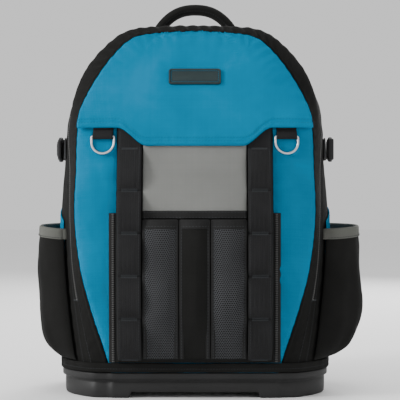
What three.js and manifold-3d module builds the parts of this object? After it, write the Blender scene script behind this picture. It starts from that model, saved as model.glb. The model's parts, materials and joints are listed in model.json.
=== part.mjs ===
// Tool backpack with a moulded base, standing on its feet. Millimetres, +Z up, front towards -Y.
// The bag is an arch seen from the front. A table of stations runs up the arch, and at each station
// one curve runs from the front seam over the zip to the rear seam. All walls are cut from it.
import * as THREE from 'three';
import { mergeVertices } from 'three/addons/utils/BufferGeometryUtils.js';
import Module from 'manifold-3d';

const wasm = await Module();
wasm.setup();

// Bag body
const bodyHeight = 439;
const bodyHalfWidth = 162;
const bodyDepth = 175;
const frontSeamY = -92;
const frontCrown = 10;
const wall = 2.5;
const seamGap = 0.3;
const layGap = 0.5;

// Moulded base and the fabric band above it
const baseWall = 3;
const baseLipHeight = 7.5;
const baseLipOut = 1;
const baseLipSlope = 1.5;
const baseWallIn = 2.4;
const baseToeRadius = 2.5;
const baseRecessHalf = 76;
const baseRecessHeight = 6.5;
const hemHeight = 11.5;
const hemThick = 1.8;
const hemGap = 1;

// Main zip, its two sliders and pulls
const zipHalf = 8;
const zipThick = 2.2;
const sliderLength = 13;
const sliderWidth = 9;
const sliderThick = 3.6;
const pullLength = 30;
const pullWidth = 9;
const pullThick = 1.8;
const sliderLift = 1.2;

// Back wall and its pads
const backWall = 4;
const backPadThick = 13;
const backPadHalfWidth = 0.247 * bodyHalfWidth;
const backPadHalfHeight = 0.268 * bodyHeight;
const backPadCentreX = 0.321 * bodyHalfWidth;
const backPadCentreZ = 0.542 * bodyHeight;
const lumbarHalfWidth = 0.593 * bodyHalfWidth;
const lumbarHalfHeight = 0.066 * bodyHeight;
const lumbarCentreZ = 0.191 * bodyHeight;

// Padded layer on the upper front, with its dipped lower edge
const flapWall = 2.5;
const flapEdgeZ = 312.4;
const flapDip = 21.4;
const flapDipInner = 0.34 * bodyHalfWidth;
const flapDipOuter = 0.5556 * bodyHalfWidth;

// Utility pocket on the front
const pocketHalf = 0.5556 * bodyHalfWidth;
const pocketBottom = 42.2;
const pocketTop = 317;
const pocketDepth = 17;
const pocketWall = 2;
const pocketCorner = 7;
const greyBottom = 217;
const bindingHeight = 8;
const netTop = 206;
const netBottom = 47;
const netHalf = 0.364 * bodyHalfWidth;
const netMiddleHalf = 0.105 * bodyHalfWidth;
const netBulge = 7;
const faceThick = 1.3;
const loopWidth = 26;
const loopCentreX = 0.46 * bodyHalfWidth;
const loopCount = 5;
const loopBulge = 9;
const webbingThick = 1.6;

// Label patch
const patchWidth = 61;
const patchHeight = 20.4;
const patchThick = 2;
const patchRim = 2.2;
const patchRimRise = 0.9;
const patchZ = 372.5;

// D-rings in their webbing tabs
const ringWire = 1.45;
const ringHalf = 13.15;
const ringCorner = 1.5;
const ringSide = 6.5;
const ringX = 0.6543 * bodyHalfWidth;
const ringZ = 302.5;
const tabWidth = 22.4;
const tabPly = 1.3;
const tabSlack = 0.4;
const tabTop = 13;

// Side pockets, one table of bulge for each side
const sidePocketBottom = 42.5;
const sidePocketTop = 198;
const sidePocketDip = 5;
const sideBulgeLeft = 25.5;
const sideBulgeRight = 38.5;
const rimHeight = 10.5;
const rimThick = 1.2;
const sidePatchThick = 1.2;
const sidePatchRise = 26;
const sidePatchSink = 40;
const sidePatchStand = 6;

// Side compression straps
const sideStrapZ = 291;
const sideStrapWidth = 25;
const buckleLift = 2.3;
const buckleLength = 36;
const buckleHeight = 29;
const buckleThick = 7.5;

// Carry handle, yoke and shoulder straps
const handleThick = 14;
const handleWidth = 21;
const handleRise = 38;
const handleHalf = 58;
const handleEndWidth = 20;
const handleEndThick = 5;
const yokeHalf = 0.494 * bodyHalfWidth;
const yokeTop = 0.959 * bodyHeight;
const yokeBottom = 0.838 * bodyHeight;
const yokeThick = 4;
const strapWidth = 62;
const strapThick = 12;
const strapReach = 47;
const strapWeb = 25;
const lockLength = 30;
const lockWidth = 36;
const lockThick = 6;

// Colours, roughness and metalness of each material
const blue = { color: 0x12839f, roughness: 0.85, metalness: 0 };
const black = { color: 0x25262a, roughness: 0.9, metalness: 0 };
const webbing = { color: 0x1c1d1f, roughness: 0.8, metalness: 0 };
const mesh = { color: 0x3a3b3d, roughness: 0.95, metalness: 0 };
const grey = { color: 0x9a9b95, roughness: 0.85, metalness: 0 };
const plastic = { color: 0x2c2c2d, roughness: 0.55, metalness: 0 };
const rubber = { color: 0x24302f, roughness: 0.6, metalness: 0 };
const steel = { color: 0xc9ccd0, roughness: 0.25, metalness: 1 };

// Stations up one side of the arch. height is a share of bodyHeight; half and the insets of the
// front seam (a), the gusset's middle (m), the zip (b), the rear bulge (n) and the rear seam (e) are
// shares of bodyHalfWidth; the depths (ya, yb, yn, ye) are shares of bodyDepth; crown of frontCrown.
const stationColumns = [
  'height', 'half', 'a', 'm', 'b', 'n', 'e', 'ya', 'yb', 'yn', 'ye', 'crown',
];
const stationRows = [
  [0.068, 0.957, 0.364, 0.285, 0.215, 0, 0.03, 0, 0.035, 0.3, 1, 0],
  [0.137, 0.968, 0.315, 0.24, 0.18, 0, 0.03, 0, 0.06, 0.36, 1, 0.45],
  [0.228, 0.982, 0.245, 0.185, 0.14, 0, 0.03, 0, 0.12, 0.42, 1, 0.8],
  [0.342, 0.992, 0.175, 0.13, 0.098, 0, 0.035, 0, 0.19, 0.48, 1, 1],
  [0.478, 1, 0.142, 0.108, 0.084, 0, 0.035, 0, 0.23, 0.5, 1, 1],
  [0.604, 0.978, 0.13, 0.09, 0.06, 0, 0.035, 0.01, 0.25, 0.5, 1, 1],
  [0.711, 0.963, 0.124, 0.07, 0.035, 0, 0.035, 0.035, 0.27, 0.52, 1, 0.95],
  [0.772, 0.935, 0.124, 0.045, 0.028, 0, 0.037, 0.065, 0.31, 0.56, 1, 0.9],
  [0.825, 0.884, 0.127, 0.025, 0.028, 0.003, 0.04, 0.1, 0.35, 0.6, 1, 0.8],
  [0.877, 0.811, 0.13, 0.012, 0.03, 0.006, 0.045, 0.14, 0.39, 0.64, 1, 0.65],
  [0.92, 0.719, 0.117, 0.004, 0.03, 0.01, 0.05, 0.18, 0.42, 0.66, 1, 0.5],
  [0.95, 0.636, 0.105, 0, 0.03, 0.012, 0.05, 0.205, 0.44, 0.68, 0.995, 0.36],
  [0.975, 0.55, 0.094, 0, 0.03, 0.012, 0.05, 0.225, 0.45, 0.69, 0.99, 0.22],
  [0.991, 0.44, 0.078, 0, 0.03, 0.012, 0.05, 0.245, 0.46, 0.7, 0.985, 0.1],
  [0.998, 0.22, 0.066, 0, 0.03, 0.012, 0.05, 0.255, 0.47, 0.7, 0.98, 0.04],
  [1, 0, 0.062, 0, 0.03, 0.012, 0.05, 0.26, 0.48, 0.7, 0.98, 0],
];

// How far the front pocket stands out, by share of its height
const pocketProfile = [
  [0, 0.14], [0.05, 0.45], [0.14, 0.78], [0.28, 1], [0.45, 0.97], [0.62, 0.78], [0.76, 0.45],
  [0.87, 0.1], [0.905, 0], [1, 0],
];

// How far each side pocket stands out, by share of its height
const sideProfileLeft = [
  [0, 0.02], [0.04, 0.34], [0.1, 0.66], [0.18, 0.86], [0.3, 0.96], [0.5, 1], [0.75, 1], [1, 0.97],
];
const sideProfileRight = [
  [0, 0.02], [0.04, 0.4], [0.1, 0.7], [0.2, 0.88], [0.32, 0.98], [0.4, 1], [0.65, 0.94], [1, 0.88],
];

function lerpTable(table, share) {
  const last = table.length - 1;
  let i = 0;
  while (i < last - 1 && share > table[i + 1][0]) i += 1;
  const [s0, v0] = table[i];
  const [s1, v1] = table[i + 1];
  return THREE.MathUtils.lerp(v0, v1, THREE.MathUtils.clamp((share - s0) / (s1 - s0), 0, 1));
}

function range(count) {
  return Array.from({ length: count }, (_, i) => i);
}

function spread(from, to, count) {
  return range(count).map((i) => THREE.MathUtils.lerp(from, to, i / (count - 1)));
}

function mirrored(point) {
  return new THREE.Vector3(-point.x, point.y, point.z);
}

// A closed body from points and triangles: equal points merged, thin triangles dropped, faces out
function closedBody(points, triangles) {
  const raw = new THREE.BufferGeometry();
  raw.setAttribute('position', new THREE.Float32BufferAttribute(points.flatMap((p) => p.toArray()), 3));
  raw.setIndex(triangles.flat());
  const merged = mergeVertices(raw, 1e-3);
  const position = merged.getAttribute('position');
  const index = merged.getIndex().array;
  const kept = [];
  let volume = 0;
  const [a, b, c] = [new THREE.Vector3(), new THREE.Vector3(), new THREE.Vector3()];
  for (let i = 0; i < index.length; i += 3) {
    const [p, q, r] = [index[i], index[i + 1], index[i + 2]];
    if (p === q || q === r || r === p) continue;
    kept.push(p, q, r);
    a.fromBufferAttribute(position, p);
    b.fromBufferAttribute(position, q);
    c.fromBufferAttribute(position, r);
    volume += a.dot(b.cross(c));
  }
  if (volume < 0) kept.reverse();
  merged.setIndex(kept);
  merged.computeVertexNormals();
  return merged;
}

// A wall between an outer and an inner grid of points, grid[row][column], closed round its rim
function wallBody(outer, inner) {
  const rows = outer.length;
  const cols = outer[0].length;
  const points = [...outer.flat(), ...inner.flat()];
  const at = (side, row, col) => side * rows * cols + row * cols + col;
  const triangles = [];
  const quad = (p, q, r, s) => triangles.push([p, q, r], [p, r, s]);
  for (let i = 0; i < rows - 1; i += 1) {
    for (let j = 0; j < cols - 1; j += 1) {
      quad(at(0, i, j), at(0, i, j + 1), at(0, i + 1, j + 1), at(0, i + 1, j));
      quad(at(1, i, j), at(1, i + 1, j), at(1, i + 1, j + 1), at(1, i, j + 1));
    }
    quad(at(0, i, 0), at(0, i + 1, 0), at(1, i + 1, 0), at(1, i, 0));
    quad(at(0, i, cols - 1), at(1, i, cols - 1), at(1, i + 1, cols - 1), at(0, i + 1, cols - 1));
  }
  for (let j = 0; j < cols - 1; j += 1) {
    quad(at(0, 0, j), at(1, 0, j), at(1, 0, j + 1), at(0, 0, j + 1));
    quad(at(0, rows - 1, j), at(0, rows - 1, j + 1), at(1, rows - 1, j + 1), at(1, rows - 1, j));
  }
  return closedBody(points, triangles);
}

// A body lofted through rings of points, capped at both ends or joined into a loop
function loftBody(rings, looped = false) {
  const count = rings.length;
  const sides = rings[0].length;
  const points = rings.flat();
  const triangles = [];
  const spans = looped ? count : count - 1;
  for (let i = 0; i < spans; i += 1) {
    const next = (i + 1) % count;
    for (let j = 0; j < sides; j += 1) {
      const k = (j + 1) % sides;
      triangles.push([i * sides + j, i * sides + k, next * sides + k]);
      triangles.push([i * sides + j, next * sides + k, next * sides + j]);
    }
  }
  if (!looped) {
    const last = (count - 1) * sides;
    for (let j = 1; j < sides - 1; j += 1) {
      triangles.push([0, j + 1, j], [last, last + j, last + j + 1]);
    }
  }
  return closedBody(points, triangles);
}

// A band that closes on itself, between rings of plan points: outer up, then inner down
function bandBody(loops) {
  return loftBody(loops, true);
}

function toManifold(geometry) {
  const bare = geometry.clone();
  bare.deleteAttribute('normal');
  bare.deleteAttribute('uv');
  const merged = mergeVertices(bare, 1e-4);
  const vertProperties = new Float32Array(merged.getAttribute('position').array);
  const triVerts = new Uint32Array(merged.getIndex().array);
  return new wasm.Manifold(new wasm.Mesh({ numProp: 3, vertProperties, triVerts }));
}

function fromManifold(solid) {
  const data = solid.getMesh();
  const geometry = new THREE.BufferGeometry();
  geometry.setAttribute('position', new THREE.Float32BufferAttribute(data.vertProperties, 3));
  geometry.setIndex(Array.from(data.triVerts));
  geometry.computeVertexNormals();
  return geometry;
}

// Stations as solid points: the curve through a, m, b, n and e at each height of the arch
const records = stationRows.map((row) => Object.fromEntries(row.map((v, i) => [stationColumns[i], v])));
const topStation = records.length - 1;
const tiltFrom = 0.7;
const tiltTo = 0.83;

function outlinePoint(k) {
  const record = records[Math.min(k, 2 * topStation - k)];
  const side = k > topStation ? -1 : 1;
  return new THREE.Vector2(side * record.half * bodyHalfWidth, record.height * bodyHeight);
}

// Towards the inside of the arch, level on the straight sides and square to the arch at the top
function inward(k) {
  const along = outlinePoint(k + 1).sub(outlinePoint(Math.max(k - 1, 0)));
  const square = new THREE.Vector2(-along.y, along.x).normalize();
  const tilt = THREE.MathUtils.smoothstep(records[k].height, tiltFrom, tiltTo);
  return new THREE.Vector2(-1, 0).lerp(square, tilt).normalize();
}

function stationCurve(k) {
  const record = records[k];
  const outline = outlinePoint(k);
  const direction = inward(k);
  const place = (inset, depth, set = 0) => new THREE.Vector3(
    outline.x + direction.x * inset * bodyHalfWidth,
    frontSeamY + depth * bodyDepth + set,
    outline.y + direction.y * inset * bodyHalfWidth,
  );
  return new THREE.CatmullRomCurve3([
    place(record.a, record.ya, wall + seamGap),
    place(record.m, (record.ya + record.yb) / 2),
    place(record.b, record.yb),
    place(record.n, record.yn),
    place(record.e, record.ye),
  ], false, 'centripetal');
}

const stationCurves = range(topStation + 1).map(stationCurve);

function surfacePoint(k, w) {
  if (k > topStation) return mirrored(stationCurves[2 * topStation - k].getPoint(w));
  return stationCurves[k].getPoint(w);
}

function surfaceNormal(k, w) {
  const step = 0.02;
  const low = THREE.MathUtils.clamp(w - step, 0, 1);
  const high = THREE.MathUtils.clamp(w + step, 0, 1);
  const across = surfacePoint(k, high).sub(surfacePoint(k, low));
  const along = surfacePoint(k + 1, w).sub(surfacePoint(Math.max(k - 1, 0), w));
  const normal = across.cross(along).normalize();
  if (k === 0) normal.setZ(0).normalize();
  if (k === topStation) normal.setX(0).normalize();
  return normal;
}

// Share of the curve that a length of the zip takes up at a station
function zipShare(k, length) {
  const step = 0.02;
  const speed = surfacePoint(k, 0.5 + step).distanceTo(surfacePoint(k, 0.5 - step)) / (2 * step);
  return length / speed;
}

// One strip of the side wall, from bottom left over the arch to bottom right
function archStrip(shares, thick, sink = 0) {
  const outerSide = [];
  const innerSide = [];
  for (let k = 0; k <= topStation; k += 1) {
    const places = shares(k).map((w) => [surfacePoint(k, w), surfaceNormal(k, w)]);
    outerSide.push(places.map(([p, n]) => p.clone().addScaledVector(n, -sink)));
    innerSide.push(places.map(([p, n]) => p.clone().addScaledVector(n, -sink - thick)));
  }
  const whole = (side) => [...side.map((row) => row.map(mirrored)), ...side.slice(0, -1).reverse()];
  return wallBody(whole(outerSide), whole(innerSide));
}

function gussetFront() {
  return archStrip((k) => spread(0, 0.5 - zipShare(k, zipHalf), 5), wall);
}

function zipMain() {
  return archStrip((k) => {
    const edge = zipShare(k, zipHalf - seamGap);
    return spread(0.5 - edge, 0.5 + edge, 3);
  }, zipThick);
}

function gussetRear() {
  return archStrip((k) => spread(0.5 + zipShare(k, zipHalf), 1, 7), wall);
}

// Side wall at any height below the arch, for what is sewn on it
function sidePlace(z, w) {
  let k = 0;
  while (k < topStation - 2 && records[k + 1].height * bodyHeight < z) k += 1;
  const low = records[k].height * bodyHeight;
  const high = records[k + 1].height * bodyHeight;
  const share = (z - low) / (high - low);
  const point = surfacePoint(k, w).lerp(surfacePoint(k + 1, w), share);
  const normal = surfaceNormal(k, w).lerp(surfaceNormal(k + 1, w), share).setZ(0).normalize();
  return { point: point.setZ(z), normal };
}

// Front seam at a station, and the front wall at any place
const frontSeam = records.map((record, k) => {
  const outline = outlinePoint(k);
  const direction = inward(k);
  return {
    x: outline.x + direction.x * record.a * bodyHalfWidth,
    y: frontSeamY + record.ya * bodyDepth,
    z: outline.y + direction.y * record.a * bodyHalfWidth,
    crown: record.crown * frontCrown,
  };
});

function frontRow(z) {
  let k = 0;
  while (k < frontSeam.length - 2 && frontSeam[k + 1].z < z) k += 1;
  const [low, high] = [frontSeam[k], frontSeam[k + 1]];
  const share = THREE.MathUtils.clamp((z - low.z) / (high.z - low.z), 0, 1);
  const mix = (name) => THREE.MathUtils.lerp(low[name], high[name], share);
  return { x: mix('x'), y: mix('y'), crown: mix('crown') };
}

function frontY(x, z) {
  const row = frontRow(z);
  const share = row.x > 0 ? Math.min(Math.abs(x) / row.x, 1) : 0;
  return row.y - row.crown * (1 - share * share);
}

// A thin layer that follows the front wall: rows of places (x, z), lying `lift` off the wall
function frontLayer(grid, lift, thick) {
  const outer = grid.map((row) => row.map(([x, z]) => (
    new THREE.Vector3(x, frontY(x, z) - lift(x, z) - thick, z))));
  const inner = grid.map((row) => row.map(([x, z]) => new THREE.Vector3(x, frontY(x, z) - lift(x, z), z)));
  return wallBody(outer, inner);
}

function frontPanel() {
  const grid = frontSeam.map((seam) => spread(-1, 1, 13).map((s) => [s * seam.x, seam.z]));
  return frontLayer(grid, () => -wall, wall);
}

// Lower edge of the padded layer: level at the sides, with a dip over the pocket
function flapEdge(x) {
  const share = (flapDipOuter - Math.abs(x)) / (flapDipOuter - flapDipInner);
  return flapEdgeZ - flapDip * THREE.MathUtils.smoothstep(share, 0, 1);
}

const flapStand = 2 * tabPly + 3 * layGap;
const flapRowZ = 322;
const flapFlatZ = 350;

function flapLift(x, z) {
  return THREE.MathUtils.lerp(flapStand, layGap, THREE.MathUtils.smoothstep(z, flapRowZ, flapFlatZ));
}

function upperPanel() {
  const edgeX = frontRow(flapEdgeZ).x;
  const middle = spread(-flapDipOuter, flapDipOuter, 15);
  const columns = [-edgeX, -(edgeX + flapDipOuter) / 2, ...middle, (edgeX + flapDipOuter) / 2, edgeX];
  const upper = frontSeam.filter((seam) => seam.z > flapRowZ + 5).map((seam) => seam.z);
  const rows = [null, flapRowZ, ...upper];
  const grid = rows.map((z) => columns.map((x) => {
    if (z === null) return [x, flapEdge(x)];
    return [(x / edgeX) * frontRow(z).x, z];
  }));
  return frontLayer(grid, flapLift, flapWall);
}

// Pocket on the front: how far its face stands off the front wall
function pocketLift(z) {
  return pocketDepth * lerpTable(pocketProfile, (z - pocketBottom) / (pocketTop - pocketBottom));
}

// Heights where the front wall or the pocket's profile bends, between two heights
function bendHeights(low, high) {
  const apart = 4;
  const profile = pocketProfile.map(([share]) => THREE.MathUtils.lerp(pocketBottom, pocketTop, share));
  const inside = [...profile, ...frontSeam.map((seam) => seam.z)]
    .filter((z) => z > low + apart && z < high - apart)
    .sort((p, q) => p - q);
  return [low, ...inside.filter((z, i) => i === 0 || z > inside[i - 1] + 1), high];
}

function pocketFront() {
  const rows = bendHeights(pocketBottom, pocketTop);
  const face = spread(-(pocketHalf - pocketCorner), pocketHalf - pocketCorner, 9);
  const section = (z, half, lift) => {
    const place = (x, off) => new THREE.Vector3(x, frontY(x, z) - layGap - off, z);
    const side = [[half, 0], [half - 0.4, lift * 0.55], [half - 2.2, lift * 0.9]];
    const left = side.map(([x, off]) => place(-x, off));
    const right = side.map(([x, off]) => place(x, off)).reverse();
    return [...left, ...face.map((x) => place(x, lift)), ...right];
  };
  const outer = rows.map((z) => section(z, pocketHalf, pocketLift(z) + pocketWall));
  const inner = rows.map((z) => section(z, pocketHalf - pocketWall, pocketLift(z)));
  return wallBody(outer, inner);
}

// Off the front wall to lie on the pocket's face
function onPocket(z, lift = 0) {
  return layGap + pocketLift(z) + pocketWall + layGap + lift;
}

function faceSheet(columns, rows, lift, thick) {
  const grid = rows.map((z) => columns.map((x) => [x, z]));
  return frontLayer(grid, (x, z) => onPocket(z, lift(x, z)), thick);
}

function greyPanel() {
  const top = flapEdgeZ - flapDip - layGap;
  return faceSheet(spread(-netHalf, netHalf, 7), bendHeights(greyBottom, top), () => 0, faceThick);
}

function pocketBinding() {
  const top = greyBottom - layGap;
  return faceSheet(spread(-netHalf, netHalf, 7), [top - bindingHeight, top], () => 0, faceThick + 0.5);
}

// An open-topped pouch on the pocket's face: it stands off in the middle and at its mouth
function netPocket(left, right) {
  const columns = spread(left, right, 6);
  const heights = bendHeights(netBottom, netTop);
  const bulge = (x, z) => {
    const across = (x - left) / (right - left);
    const up = (z - netBottom) / (netTop - netBottom);
    return netBulge * Math.sin(Math.PI * across) ** 0.7 * THREE.MathUtils.smoothstep(up, 0, 0.35);
  };
  return faceSheet(columns, heights, bulge, faceThick);
}

// A column of webbing tacked down between loops that stand off the pocket
const loopBottom = netBottom - 2;
const loopTop = flapEdgeZ - flapDip - 2;
const loopSteps = 6;
const loopTopGap = 2.5;

function toolLoops(side) {
  const inside = loopCentreX - loopWidth / 2;
  const outside = loopCentreX + loopWidth / 2;
  const columns = spread(inside, outside, 3).map((x) => side * x);
  const heights = spread(loopBottom, loopTop, loopCount * loopSteps + 1);
  const pitch = (loopTop - loopBottom) / loopCount;
  const bulge = (x, z) => {
    if (z >= loopTop || z <= loopBottom) return 0;
    return loopBulge * Math.abs(Math.sin((Math.PI * (z - loopBottom)) / pitch)) ** 0.8;
  };
  const grid = heights.map((z) => columns.map((x) => [x, z]));
  grid.push(columns.map((x) => [x, flapEdge(x) - loopTopGap]));
  return frontLayer(grid, (x, z) => onPocket(z, bulge(x, z)), webbingThick);
}

function roundedRectangle(width, height, radius) {
  const [x, z] = [width / 2, height / 2];
  const shape = new THREE.Shape();
  shape.moveTo(-x + radius, -z);
  shape.lineTo(x - radius, -z);
  shape.absarc(x - radius, -z + radius, radius, -Math.PI / 2, 0, false);
  shape.lineTo(x, z - radius);
  shape.absarc(x - radius, z - radius, radius, 0, Math.PI / 2, false);
  shape.lineTo(-x + radius, z);
  shape.absarc(-x + radius, z - radius, radius, Math.PI / 2, Math.PI, false);
  shape.lineTo(-x, -z + radius);
  shape.absarc(-x + radius, -z + radius, radius, Math.PI, Math.PI * 1.5, false);
  return shape;
}

// A plate in the x-z plane, its face towards -Y and its back at y = 0
function plate(shape, thick, curveSegments = 3) {
  const geometry = new THREE.ExtrudeGeometry(shape, { depth: thick, bevelEnabled: false, curveSegments });
  geometry.rotateX(Math.PI / 2);
  return geometry;
}

// Frame of reference on a layer of the front wall: x along it, z up it, -y out of it
function frontFrame(x, z, lift) {
  const step = 4;
  const place = (px, pz) => new THREE.Vector3(px, frontY(px, pz) - lift(px, pz), pz);
  const across = place(x + step, z).sub(place(x - step, z)).normalize();
  const up = place(x, z + step).sub(place(x, z - step));
  up.addScaledVector(across, -up.dot(across)).normalize();
  const back = new THREE.Vector3().crossVectors(up, across);
  const frame = new THREE.Group();
  frame.quaternion.setFromRotationMatrix(new THREE.Matrix4().makeBasis(across, back, up));
  frame.position.copy(place(x, z));
  return frame;
}

function labelPatch() {
  const radius = 3.5;
  const cornerSteps = 2;
  const face = roundedRectangle(patchWidth, patchHeight, radius);
  const base = toManifold(plate(face, patchThick, cornerSteps));
  const outline = roundedRectangle(patchWidth, patchHeight, radius);
  outline.holes.push(roundedRectangle(patchWidth - 2 * patchRim, patchHeight - 2 * patchRim, 1.5));
  const rim = toManifold(plate(outline, patchThick + patchRimRise, cornerSteps));
  return fromManifold(base.add(rim));
}

// Webbing tab: two plies flat on the wall, folded round the ring's bar at the origin
const tabHole = ringWire + tabSlack;
const tabFold = tabHole + tabPly;
const tabLift = tabFold + layGap;

function ringTab() {
  const back = tabFold;
  const shape = new THREE.Shape();
  shape.moveTo(-back, 0);
  shape.absarc(0, 0, tabFold, Math.PI, Math.PI * 2, false);
  shape.lineTo(tabFold, tabTop);
  shape.lineTo(tabFold - 2 * tabPly, tabTop);
  shape.lineTo(tabFold - 2 * tabPly, tabFold + 2);
  shape.lineTo(-back, 1.5);
  const hole = new THREE.Path();
  hole.absarc(0, 0, tabHole, 0, Math.PI * 2, true);
  shape.holes.push(hole);
  const geometry = new THREE.ExtrudeGeometry(shape, { depth: tabWidth, bevelEnabled: false, curveSegments: 7 });
  geometry.translate(0, 0, -tabWidth / 2);
  const basis = new THREE.Matrix4().makeBasis(
    new THREE.Vector3(0, 1, 0),
    new THREE.Vector3(0, 0, 1),
    new THREE.Vector3(1, 0, 0),
  );
  return geometry.applyMatrix4(basis);
}

// The ring's wire centre: bar on the x axis, the bow hanging below it
function ringPath() {
  const points = [];
  const arc = (cx, cz, radius, from, to, count) => {
    for (const angle of spread(from, to, count)) {
      points.push(new THREE.Vector3(cx + radius * Math.cos(angle), 0, cz + radius * Math.sin(angle)));
    }
  };
  const straight = ringHalf - ringCorner;
  arc(straight, -ringCorner, ringCorner, Math.PI / 2, 0, 4);
  arc(0, -ringSide, ringHalf, 0, -Math.PI, 13);
  arc(-straight, -ringCorner, ringCorner, Math.PI, Math.PI / 2, 4);
  return points;
}

function dRing() {
  const path = ringPath();
  const sides = 8;
  const rings = path.map((point, i) => {
    const before = path[(i + path.length - 1) % path.length];
    const after = path[(i + 1) % path.length];
    const outwards = point.clone().sub(before).normalize();
    const onwards = after.clone().sub(point).normalize();
    const bend = outwards.add(onwards).normalize();
    const across = new THREE.Vector3(bend.z, 0, -bend.x);
    return range(sides).map((j) => {
      const angle = ((j + 0.5) * 2 * Math.PI) / sides;
      return point.clone()
        .addScaledVector(across, ringWire * Math.cos(angle))
        .add(new THREE.Vector3(0, ringWire * Math.sin(angle), 0));
    });
  });
  return loftBody(rings, true);
}

// Side pocket: an open pouch from behind the zip to the rear seam
const pouchFront = 0.6;
const pouchRear = 0.965;
const pouchColumns = 10;

function pouchTop(share) {
  return sidePocketTop - sidePocketDip * (1 - share) ** 2;
}

function pouchBulge(across, up, bulge, profile) {
  const round = Math.sin(Math.PI * across) ** 0.55;
  return bulge * Math.max(round, 0) * lerpTable(profile, up);
}

function pouchGrid(side, lift, heights) {
  return heights.map((height) => range(pouchColumns).map((j) => {
    const across = j / (pouchColumns - 1);
    const top = pouchTop(across);
    const z = height(top);
    const up = (z - sidePocketBottom) / (sidePocketTop - sidePocketBottom);
    const place = sidePlace(z, THREE.MathUtils.lerp(pouchFront, pouchRear, across));
    const point = place.point.addScaledVector(place.normal, lift(across, up));
    return side < 0 ? mirrored(point) : point;
  }));
}

function sidePocket(side, bulge, profile) {
  const shares = profile.slice(0, -1).map(([share]) => share);
  const heights = shares.map((share) => (top) => THREE.MathUtils.lerp(sidePocketBottom, top, share));
  heights.push((top) => top - rimHeight, (top) => top);
  const lift = (extra) => (across, up) => 2 * layGap + extra + pouchBulge(across, up, bulge, profile);
  return wallBody(pouchGrid(side, lift(wall), heights), pouchGrid(side, lift(0), heights));
}

// Grey binding outside the pouch's mouth
function pocketRim(side, bulge, profile) {
  const heights = [(top) => top - rimHeight, (top) => top];
  const lift = (extra) => (across, up) => (
    2 * layGap + wall + layGap + extra + pouchBulge(across, up, bulge, profile));
  return wallBody(pouchGrid(side, lift(rimThick), heights), pouchGrid(side, lift(0), heights));
}

// Blue inner wall that shows above the pouch
function sidePatch(side) {
  const columns = spread(pouchFront + 0.035, pouchRear - 0.035, 6);
  const grid = (lift) => spread(0, 1, 4).map((up) => columns.map((w, j) => {
    const top = sidePocketTop + sidePatchStand + (sidePatchRise * j) / (columns.length - 1);
    const z = THREE.MathUtils.lerp(sidePocketTop - sidePatchSink, top, up);
    const place = sidePlace(z, w);
    const point = place.point.addScaledVector(place.normal, lift);
    return side < 0 ? mirrored(point) : point;
  }));
  return wallBody(grid(2 * layGap + sidePatchThick), grid(2 * layGap));
}

function sideStrap(side) {
  const columns = spread(pouchFront + 0.02, pouchRear, 9);
  const grid = (lift) => [-0.5, 0.5].map((up) => columns.map((w) => {
    const place = sidePlace(sideStrapZ + up * sideStrapWidth, w);
    const point = place.point.addScaledVector(place.normal, lift);
    return side < 0 ? mirrored(point) : point;
  }));
  return wallBody(grid(layGap + webbingThick), grid(layGap));
}

// Frame on the side wall where the buckle lies: x out of it, z up
function sideFrame(side, z, w, lift) {
  const place = sidePlace(z, w);
  const point = place.point.addScaledVector(place.normal, lift);
  const frame = new THREE.Group();
  frame.position.copy(side < 0 ? mirrored(point) : point);
  frame.rotation.z = Math.atan2(place.normal.y, side * place.normal.x);
  return frame;
}

function sideBuckle() {
  const shape = new THREE.Shape();
  const [y, z] = [buckleLength / 2, buckleHeight / 2];
  shape.moveTo(-y, -z * 0.86);
  shape.lineTo(-y * 0.25, -z * 0.86);
  shape.quadraticCurveTo(y * 0.1, -z * 1.1, y * 0.45, -z * 0.8);
  shape.lineTo(y, -z * 0.62);
  shape.lineTo(y, z * 0.62);
  shape.lineTo(y * 0.45, z * 0.8);
  shape.quadraticCurveTo(y * 0.1, z * 1.1, -y * 0.25, z * 0.86);
  shape.lineTo(-y, z * 0.86);
  const options = { depth: buckleThick - 2, bevelEnabled: true, bevelSegments: 1, curveSegments: 3 };
  const geometry = new THREE.ExtrudeGeometry(shape, { ...options, bevelSize: 1, bevelThickness: 1, bevelOffset: -1 });
  const basis = new THREE.Matrix4().makeBasis(
    new THREE.Vector3(0, 1, 0),
    new THREE.Vector3(0, 0, 1),
    new THREE.Vector3(1, 0, 0),
  );
  return geometry.applyMatrix4(basis);
}

// Plan of the bag at its bottom row, moved out by `out`: front wall, side, back wall, side
const planShares = [0.12, 0.25, 0.38, 0.5, 0.56, 0.62, 0.68, 0.74, 0.8, 0.87, 0.94, 1];

function bagPlan(z, out) {
  const row = frontRow(z);
  const front = spread(0, 1, 5).map((s) => new THREE.Vector3(s * row.x, frontY(s * row.x, z), 0));
  const side = planShares.map((w) => sidePlace(Math.max(z, records[0].height * bodyHeight), w).point);
  const seam = side[side.length - 1];
  const backY = seam.y + seamGap + backWall;
  const back = [1, 0.66, 0].map((s) => new THREE.Vector3(s * seam.x, backY, 0));
  const half = [...front, ...side, ...back].map((p) => new THREE.Vector3(p.x, p.y, 0));
  const loop = [...half, ...half.slice(1, -1).reverse().map(mirrored)];
  return loop.map((point, i) => {
    const before = loop[(i + loop.length - 1) % loop.length];
    const after = loop[(i + 1) % loop.length];
    const onwards = after.clone().sub(before).normalize();
    return new THREE.Vector3(point.x + onwards.y * out, point.y - onwards.x * out, z);
  });
}

function hemBand() {
  const foot = records[0].height * bodyHeight;
  const low = bagPlan(foot + seamGap, hemGap);
  const high = bagPlan(foot + hemHeight, hemGap);
  const highOut = bagPlan(foot + hemHeight, hemGap + hemThick);
  const lowOut = bagPlan(foot + seamGap, hemGap + hemThick);
  return bandBody([low, high, highOut, lowOut]);
}

function planAt(out, z) {
  const foot = records[0].height * bodyHeight;
  return bagPlan(foot, out).map((p) => new THREE.Vector3(p.x, p.y, z));
}

// Moulded base: a wall with a lip, cut away at the bottom in front and behind between the feet
const baseInner = -baseWallIn - baseWall;

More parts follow.
